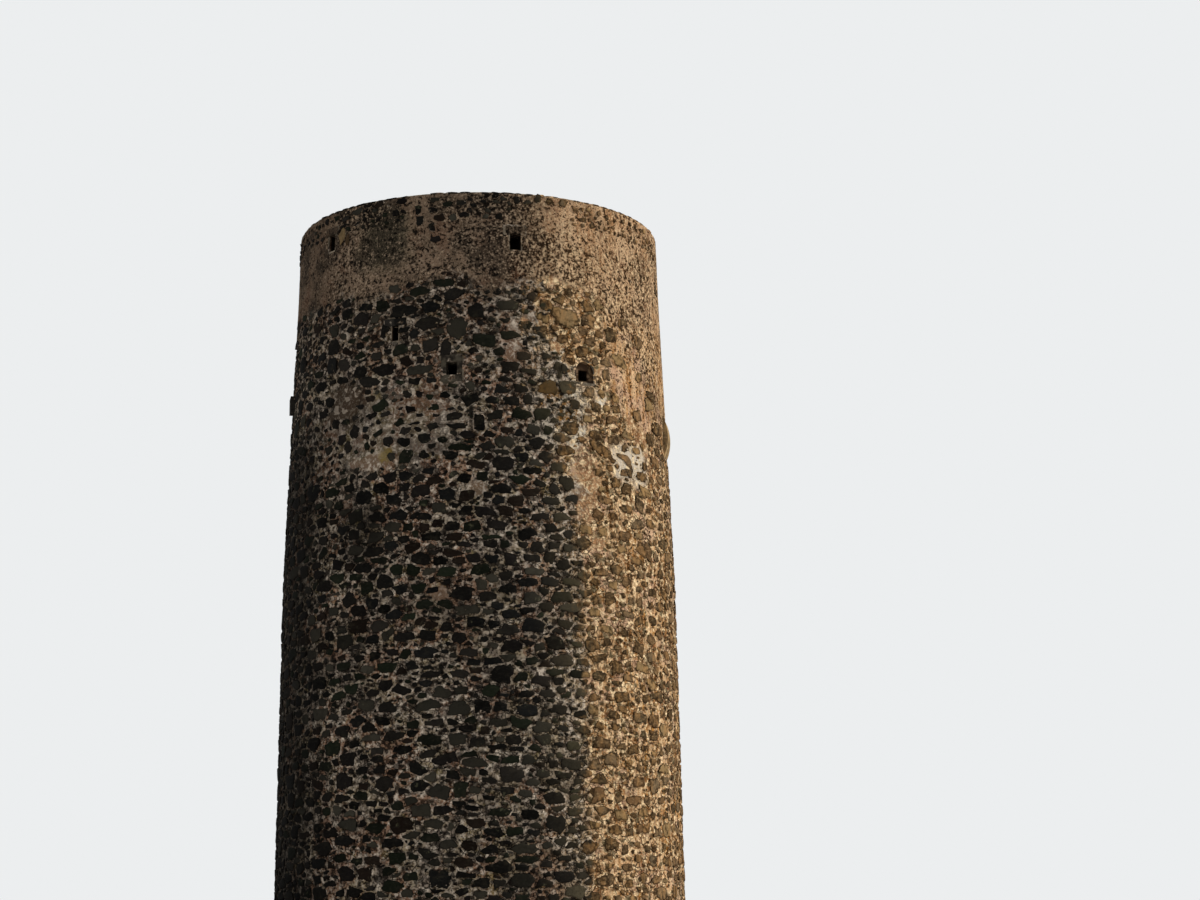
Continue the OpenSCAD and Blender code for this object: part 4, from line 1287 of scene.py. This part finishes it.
# %% Geometry trees
def geometry_tree(name, sizes):
    """A new tree with a geometry input and named number inputs. Returns the bench, the wires and the identifiers."""
    tree = bpy.data.node_groups.new(name, "GeometryNodeTree")
    tree.interface.new_socket("Geometry", in_out="INPUT", socket_type="NodeSocketGeometry")
    keys = {label: tree.interface.new_socket(label, in_out="INPUT", socket_type="NodeSocketFloat").identifier
            for label in sizes}
    tree.interface.new_socket("Geometry", in_out="OUTPUT", socket_type="NodeSocketGeometry")
    bench = Bench(tree)
    entry = bench.add("NodeGroupInput").socket.node
    return bench, {s.name: Wire(bench, s) for s in entry.outputs if s.name}, keys


def close_tree(bench, geometry, material):
    done = bench.add("GeometryNodeRealizeInstances", {}, {"Geometry": geometry})
    done = bench.add("GeometryNodeSetMaterial", {}, {"Geometry": done, "Material": material})
    bench.add("NodeGroupOutput", {}, {0: done})


def bake(name, source, tree, keys, sizes):
    """Runs a tree on a source mesh and keeps the result as a plain mesh without a modifier."""
    modifier = source.modifiers.new("tree", "NODES")
    modifier.node_group = tree
    for label, value in sizes.items():
        modifier[keys[label]] = value
    evaluated = source.evaluated_get(bpy.context.evaluated_depsgraph_get())
    mesh = bpy.data.meshes.new_from_object(evaluated)
    mesh.name = name
    source.modifiers.clear()
    bpy.data.objects.remove(source)
    piece = bpy.data.objects.new(name, mesh)
    bpy.context.scene.collection.objects.link(piece)
    mesh.polygons.foreach_set("use_smooth", [True] * len(mesh.polygons))
    return piece


def field(bench, name):
    return bench.add("GeometryNodeInputNamedAttribute", {"data_type": "FLOAT"}, {"Name": name})


def swing(bench, scale, detail, rough, at, reach):
    """Noise that goes from minus to plus a reach."""
    return (bench.noise(scale, detail, rough, at=at) - 0.5) * 2.0 * reach


print("helpers:", geometry_tree.__name__, close_tree.__name__, bake.__name__)

# %% [markdown]
# ## Roll the mortar skin
#
# The tree rolls the flat sheet round the tower, lifts it by the thickness of the mortar, roughens it, sinks its
# borders into the wall at every opening and closes the seam.

# %% The rolling tree
SKIN_SIZES = {"Skin Lift": SKIN_LIFT, "Render Lift": RENDER_LIFT, "Relief": 0.005, "Relief Scale": 3.5,
              "Grain": 0.004, "Grain Scale": 14.0, "Pit Depth": 0.012, "Sink": 0.006, "Ragged": 0.016, "Seam": 0.0004}
roll, wire, roll_keys = geometry_tree("rolled_skin", SKIN_SIZES)
turn, _, height = roll.split(roll.add("GeometryNodeInputPosition"))
sine, cosine = turn.math("SINE"), turn.math("COSINE")
reach, gap, cover = field(roll, "reach"), field(roll, "gap"), field(roll, "cover")
flat_face = roll.join(sine * reach, cosine * reach * -1.0, height)
relief = swing(roll, wire["Relief Scale"], 4.0, 0.6, flat_face, wire["Relief"])
grain = swing(roll, wire["Grain Scale"], 2.0, 0.6, flat_face, wire["Grain"])
pit = roll.cells(12.5, at=flat_face).ramp(0.46, 0.16) * cover * wire["Pit Depth"]
thick = wire["Skin Lift"] + wire["Render Lift"] * cover + relief + grain - pit
fade = (gap + swing(roll, 17.0, 2.0, 0.5, flat_face, wire["Ragged"])).ramp(0.005, 0.045)
radius = reach + thick * fade - wire["Sink"] * (1.0 - fade)
rolled = roll.join(sine * radius, cosine * radius * -1.0, height)
sheet = roll.add("GeometryNodeSetPosition", {}, {"Geometry": wire["Geometry"], "Position": rolled})
sheet = roll.add("GeometryNodeDeleteGeometry", {"domain": "POINT"}, {"Geometry": sheet, "Selection": gap < 0.0})
sheet = roll.add("GeometryNodeMergeByDistance", {}, {"Geometry": sheet, "Distance": wire["Seam"]})
close_tree(roll, sheet, skin_mortar)
print("tree inputs:", list(roll_keys))

# %% [markdown]
# ## Three sheets of skin
#
# The render on the head is pitted, so its sheet is finer than those below. Every corner of a sheet carries the radius
# of the face there, how much render covers it, and how far the next opening or squared stone is.

# %% Flat sheets, then rolled
END_MARGIN = 0.012                      # the skin isn't faded at the foot and the rim, so both count as this far off
SKINS = [("mortar_skin_foot", z_foot, 3.8, 0.050, "rubble_facing"),
         ("mortar_skin_middle", 3.8, 7.4, 0.048, "rubble_facing"),
         ("mortar_skin_head", 7.4, z_rim, 0.034, "rendered_facing")]


def flat_sheet(name, low, high, pitch):
    rows, columns = max(2, round((high - low) / pitch)), round(GIRTH / pitch)
    across = columns + 1
    corners, reaches, covers, gaps, bares = [], [], [], [], []
    for r in range(rows + 1):
        z = low + (high - low) * r / rows
        to_ends = min(z - z_foot, z_rim - z) + END_MARGIN
        for c in range(across):
            x = -GIRTH / 2 + GIRTH * c / columns
            corners.append((x / ROLL_RADIUS, 0.0, z))
            reaches.append(face_radius(z))
            covers.append(render_cover(x, z) if z > RENDERED_FROM else 0.0)
            bares.append(bare_at(x, z))
            gaps.append(min(gap_to_openings(x, z), to_ends) if z > z_steep else to_ends)
    starts = [r * across + c for r in range(rows) for c in range(columns)]
    faces = [(i, i + 1, i + across + 1, i + across) for i in starts]
    return mesh_object(name, corners, faces, skin_mortar, reach=reaches, cover=covers, gap=gaps, bare=bares)


for name, low, high, pitch, slot in SKINS:
    skin = bake(name, flat_sheet(name + "_flat", low, high, pitch), roll.tree, roll_keys, SKIN_SIZES)
    pieces.append((skin, slot))
    print(name, triangle_count(skin), "triangles")

# %% [markdown]
# ## Pinning chips, instanced
#
# Almost three thousand chips pin the joints. One small pebble is enough: a tree puts it on every point, turned to the
# wall and stretched by the sizes stored there, and noise then makes each one its own.

# %% The scattering tree
CHIP_SUNK, CHIP_DEEP, SMALL_SKIRT = 0.004, 0.011, 0.42
POINT_NUMBERS = ("turn", "tilt", "wide", "deep", "high", "tone", "lot")


def points_object(name, rows):
    """Loose points. Each row is place, turn about the upright, tilt, size across, out and up, tone and lot."""
    places, *columns = zip(*rows)
    return mesh_object(name, places, [], None, **dict(zip(POINT_NUMBERS, columns)))


def scatter_tree(name, sizes, make_stone):
    bench, wire, keys = geometry_tree(name, sizes)
    euler = bench.join(0.0, field(bench, "tilt"), field(bench, "turn"))
    laid = bench.add("GeometryNodeInstanceOnPoints", {}, {
        "Points": wire["Geometry"], "Instance": make_stone(bench),
        "Rotation": bench.add("FunctionNodeEulerToRotation", {}, {0: euler}),
        "Scale": bench.join(*(field(bench, key) for key in ("wide", "deep", "high")))})
    laid = bench.add("GeometryNodeRealizeInstances", {}, {"Geometry": laid})
    here = bench.add("GeometryNodeInputPosition")
    rough = bench.add("ShaderNodeTexNoise", {}, {"Vector": here, "Scale": wire["Rough Scale"], "Detail": 2.0}, 1)
    moved = bench.vector("SCALE", bench.vector("SUBTRACT", rough, by=(0.5, 0.5, 0.5)), Scale=wire["Rough"] * 2.0)
    laid = bench.add("GeometryNodeSetPosition", {}, {"Geometry": laid, "Offset": moved})
    laid = bench.add("GeometryNodeStoreNamedAttribute", {"data_type": "FLOAT", "domain": "POINT"}, {
        "Geometry": laid, "Name": "skirt", "Value": SMALL_SKIRT})
    close_tree(bench, laid, facing_stone)
    return bench.tree, keys


def pebble(bench):
    return bench.add("GeometryNodeMeshIcoSphere", {}, {"Radius": 1.0, "Subdivisions": 1})


def scattered(name, rows, sizes, make_stone, slot):
    piece = bake(name, points_object(name + "_points", rows), *scatter_tree(name, sizes, make_stone), sizes)
    pieces.append((piece, slot))
    print(name, len(rows), "stones,", triangle_count(piece), "triangles")


rows = []
for stone in chips:
    x, z = stone["x"], stone["z"]
    rows.append((on_wall(x, z, skin_level(x, z) - CHIP_SUNK), x / ROLL_RADIUS, stone["tilt"],
                 stone["a"], CHIP_DEEP, stone["c"], tone_for(dice, CHIP_TONES), dice.random()))
scattered("pinning_chips", rows, {"Rough": 0.018, "Rough Scale": 26.0}, pebble, "rubble_facing")

# %% [markdown]
# ## The stones of the rim
#
# Along the edge of the wall head runs a row of small stones, which makes the top of the outline uneven. The scattering
# tree lays them too: only the points change, which stand side by side on a circle and differ in height.

# %% The rim course
RIM_JOINT, RIM_RISE = 0.014, 0.012


def rim_block(bench):
    sides = {"Size": (2.0, 2.0, 2.0), "Vertices X": 3, "Vertices Y": 2, "Vertices Z": 2}
    block = bench.add("GeometryNodeMeshCube", {}, sides)
    return bench.add("GeometryNodeSubdivisionSurface", {}, {"Mesh": block, "Level": 1, "Edge Crease": 0.55})


rows, bearing = [], 0.0
while bearing < 360.0:
    half = dice.uniform(0.055, 0.120)
    step = math.degrees((2 * half + RIM_JOINT) / rim_radius)
    if bearing + step > 360.0:
        break
    middle = math.radians(bearing + step / 2)
    deep, high = dice.uniform(0.07, 0.11), dice.uniform(0.026, 0.036)
    radius = rim_radius - deep + dice.uniform(0.010, 0.022)
    level = z_rim + RIM_RISE - high + dice.uniform(-0.006, 0.006)
    place = (radius * math.sin(middle), -radius * math.cos(middle), level)
    rows.append((place, middle, dice.gauss(0, 0.03), half, deep, high, tone_for(dice), dice.random()))
    bearing += step
scattered("rim_course", rows, {"Rough": 0.010, "Rough Scale": 9.0}, rim_block, "coping_stone")

# %% [markdown]
# ## Paint for the packed nodes
#
# The packed nodes show inside the openings, on the terrace and under the vault. They keep their shape and take the
# same mortar, masonry, squared stone and lime, worked out from Object coordinates. Inside a narrow opening the wall
# is painted darker with depth, and the faces round the rooms are painted dark: painted shade.

# %% Masonry of the inner faces
THICK_WALL = 1.98, 2.02         # the wall outside this radius shows in openings, and inside it round the rooms


def wall_line(z):
    """Radius of the face above the foot, as a straight line that nodes can work out."""
    slope = (lean_radii[2] - lean_radii[1]) / (lean_levels[2] - lean_levels[1])
    return z * slope + (lean_radii[1] - slope * lean_levels[1])


def masonry_look(bench):
    """Rubble painted on the inner faces: cells for stones and mortar between them, with painted shade in openings and
    rooms.
    """
    masks = wall_masks(bench)
    mortar, low = mortar_look(bench, masks)
    stretch = (4.2, 4.2, 6.8)
    face = (bench.cell_edge(1.0, stretch) + (bench.noise(16.0, 3.0) - 0.5) * 0.10).ramp(0.06, 0.13)
    lot = bench.split(bench.cells(1.0, "Color", stretch))[0]
    stone = bench.coats(
        bench.mix(lot, "#332f2a", "#4d463a"),
        (bench.noise(30.0, 3.0).ramp(0.5, 0.7) * 0.4, "#6a5f4c"),
        (bench.noise(1.6, 4.0).ramp(0.40, 0.62) * 0.65, "#a89882"))
    x, y, z = bench.split(bench.place())
    radius, turned = (x * x + y * y).math("SQRT"), masks["bearing"]
    # Painted shade: narrow openings darken with depth, the doorway does not, and the faces round the rooms are dark.
    depth, in_opening = wall_line(z) - radius, radius.ramp(*THICK_WALL) * (turned.math("ABSOLUTE") < 166.0)
    deep = (depth - turned.within(26.5, 38.5, 0.5) * 0.038).ramp(0.024, 0.05) * in_opening
    painted_room_shade = (radius < THICK_WALL[0]) * z.ramp(z_deck - 0.02, z_deck - 0.06)
    colour = bench.coats(
        bench.mix(face, mortar, stone),
        (depth.ramp(0.003, 0.014) * in_opening * 0.8, "#3f2c1e"),
        (deep * 0.93, "#0b0908"),
        (painted_room_shade * 0.85, "#120f0d"))
    return colour, face * 0.8 + low * 0.4 + bench.noise(30.0, 3.0) * 0.3


inner_masonry = finished("inner_masonry", masonry_look, bump=0.9, depth=0.015)
print("made", inner_masonry.name)

# %% [markdown]
# ## Squared stone, lime floors and the coat under the slots
#
# Squared stones are cleaner than rubble: blotches, a dark grain and a little mortar over them. Where one packed node
# holds several stones, their beds and joints are painted. The lintels of the slots take the render, darkened as painted
# shade. Each material then goes to the nodes that it is made for.

# %% Squared stones and floors
STONE_COURSE, KERB_STONE = 0.31, 60.0      # height of a squared stone in metres, and of a kerb stone in degrees
HATCH_ZONE = 1.0                           # only the ring of the hatch lies inside this radius


def squared_joints(bench, masks):
    """Beds between squared stones, none across the door's lintel, and joints that cross the ring of the hatch."""
    x, y, z = bench.split(bench.place())
    radius = (x * x + y * y).math("SQRT")
    course = (z + (bench.noise(5.0, 2.0) - 0.5) * 0.03) * (1.0 / STONE_COURSE)
    lintel = (masks["bearing"].math("ABSOLUTE") > 150.0) * (z > 8.08)
    bed = course.math("FRACT").within(0.475, 0.525, 0.012) * (radius > HATCH_ZONE) * (1.0 - lintel)
    turn = (masks["bearing"] * (1.0 / KERB_STONE) + 10.0).math("FRACT")
    return bench.most(bed, turn.within(0.478, 0.522, 0.01) * (radius < HATCH_ZONE))


def squared_look(first, second, smeared=0.8, jointed=0.0):
    """Squared stone: blotches, dark grain, joints, and mortar smeared over it in places."""
    def look(bench):
        blotch, fine = bench.noise(5.0, 4.0, 0.65), bench.noise(60.0, 3.0, 0.7)
        masks = wall_masks(bench)
        mortar, _ = mortar_look(bench, masks)
        joint = squared_joints(bench, masks) * jointed
        smear = bench.most(bench.noise(8.0, 4.0, 0.65).ramp(0.56, 0.62) * smeared, joint * 0.8)
        colour = bench.coats(
            bench.mix(blotch.ramp(0.42, 0.58), first, second),
            (fine.ramp(0.56, 0.72) * 0.5, "#211e1a"),
            (bench.noise(11.0, 4.0).ramp(0.46, 0.36) * 0.5, "#1a1815"),
            (smear, mortar))
        return colour, blotch * 0.4 + fine * 0.4 + smear * 0.3 - joint * 1.2
    return look


def lime_look(bench):
    broad, fine, crack = bench.noise(1.3, 5.0, 0.65), bench.noise(34.0, 3.0, 0.7), bench.cell_edge(2.3).ramp(0.03, 0.0)
    colour = bench.coats(
        bench.mix(broad.ramp(0.36, 0.64), "#8f8371", "#b1a48c"),
        (crack * 0.6, "#4a4238"),
        (bench.noise(4.0, 4.0).ramp(0.56, 0.68) * 0.6, "#6a6454"))
    return colour, broad * 0.5 + fine * 0.4 - crack * 0.6


# The render, darkened as painted shade.
def shaded_render(bench):
    colour, height = mortar_look(bench, wall_masks(bench), 1.0)
    return bench.mix(0.6, colour, "#1d1813"), height


NODE_PAINT = [
    (finished("squared_stone", squared_look("#2a2621", "#4f493e", jointed=1.0), rough=0.85, depth=0.006),
     ("centre_loophole_frame", "door_threshold", "door_jambs", "door_lintel", "hatch_kerb")),
    # painted shade on the slot lintels
    (finished("render_in_painted_shade", shaded_render, depth=0.014), ("slot_lintels",)),
    (finished("dark_slab", squared_look("#171614", "#2e2b27"), rough=0.85, depth=0.006),
     ("high_loophole_lintel", "left_projecting_block")),
    (finished("pale_slab", squared_look("#7f6a4c", "#a58a62", 0.5), rough=0.88, depth=0.008),
     ("right_projecting_slab",)),
    (finished("lime_floor", lime_look, rough=0.9, depth=0.008),
     ("chamber_floor", "terrace_paving", "haunch_fill", "coping"))]
chosen_paint = {name: material for material, names in NODE_PAINT for name in names}
for name, part in nodes.items():
    part.data.materials.clear()
    part.data.materials.append(chosen_paint.get(name, inner_masonry))
print("painted nodes:", len(nodes), "of which masonry:", len(nodes) - len(chosen_paint))

# %% [markdown]
# ## Floor, backdrop and lamp
#
# A large pale floor keeps the tower's shadow. The camera sees a pale backdrop, while the world that lights the tower
# is plain white and weak. One wide lamp stands on the right, where the photograph's light comes from.

# %% Floor, world and lamp
FLOOR_REACH, FILL = 80.0, 0.52
KEY_BEARING, KEY_HEIGHT, KEY_STRENGTH, KEY_SOFTNESS, KEY_COLOUR = 94.0, 36.0, 3.0, 6.0, (1.0, 0.965, 0.91)


def floor_look(bench):
    return bench.mix(bench.noise(0.8, 2.0), "#d9d7d2", "#dedcd8"), bench.noise(9.0, 2.0)


floor_mesh = bpy.data.meshes.new("floor")
floor_corners = [(sx * FLOOR_REACH, sy * FLOOR_REACH, z_foot) for sx, sy in ((-1, -1), (1, -1), (1, 1), (-1, 1))]
floor_mesh.from_pydata(floor_corners, [], [(0, 1, 2, 3)])
floor = bpy.data.objects.new("floor", floor_mesh)
bpy.context.scene.collection.objects.link(floor)
floor_mesh.materials.append(finished("pale_floor", floor_look, bump=0.05))
floor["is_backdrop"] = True

world = bpy.data.worlds.new("studio")
world.use_nodes = True
world.node_tree.nodes.clear()
sky = Bench(world.node_tree)
rays = [sky.add("ShaderNodeLightPath", out=f"Is {kind} Ray") for kind in ("Camera", "Glossy", "Transmission")]
fill = sky.add("ShaderNodeBackground", {}, {"Color": "#f1f3f8", "Strength": FILL})
backdrop = sky.add("ShaderNodeBackground", {}, {"Color": "#eceeef", "Strength": 1.0})
either = sky.add("ShaderNodeMixShader", {}, {0: sky.most(*rays), 1: fill, 2: backdrop})
sky.add("ShaderNodeOutputWorld", {}, {0: either})
bpy.context.scene.world = world

lamp_data = bpy.data.lights.new("key", "SUN")
lamp_data.energy, lamp_data.angle, lamp_data.color = KEY_STRENGTH, math.radians(KEY_SOFTNESS), KEY_COLOUR
lamp = bpy.data.objects.new("key", lamp_data)
side, rise = math.radians(KEY_BEARING), math.radians(KEY_HEIGHT)
towards = Vector((math.sin(side) * math.cos(rise), -math.cos(side) * math.cos(rise), math.sin(rise)))
lamp.rotation_euler = towards.to_track_quat("Z", "Y").to_euler()
bpy.context.scene.collection.objects.link(lamp)
bpy.context.scene.view_settings.view_transform = "Standard"
print("key lamp towards", [round(v, 2) for v in towards])

# %% [markdown] ## Attach the pieces Every piece rides on the root body.

# %% Ride, compare and finish
for piece, slot in pieces:
    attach(piece, "root")
total = sum(triangle_count(piece) for piece, _ in pieces)
print("triangles added:", total)
low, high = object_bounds()
{"cad": [list(cad_low), list(cad_high)], "dressed": [list(low), list(high)]}
print("grown by:", [round((b - a) - (d - c), 3) for a, b, c, d in zip(low, high, cad_low, cad_high)])
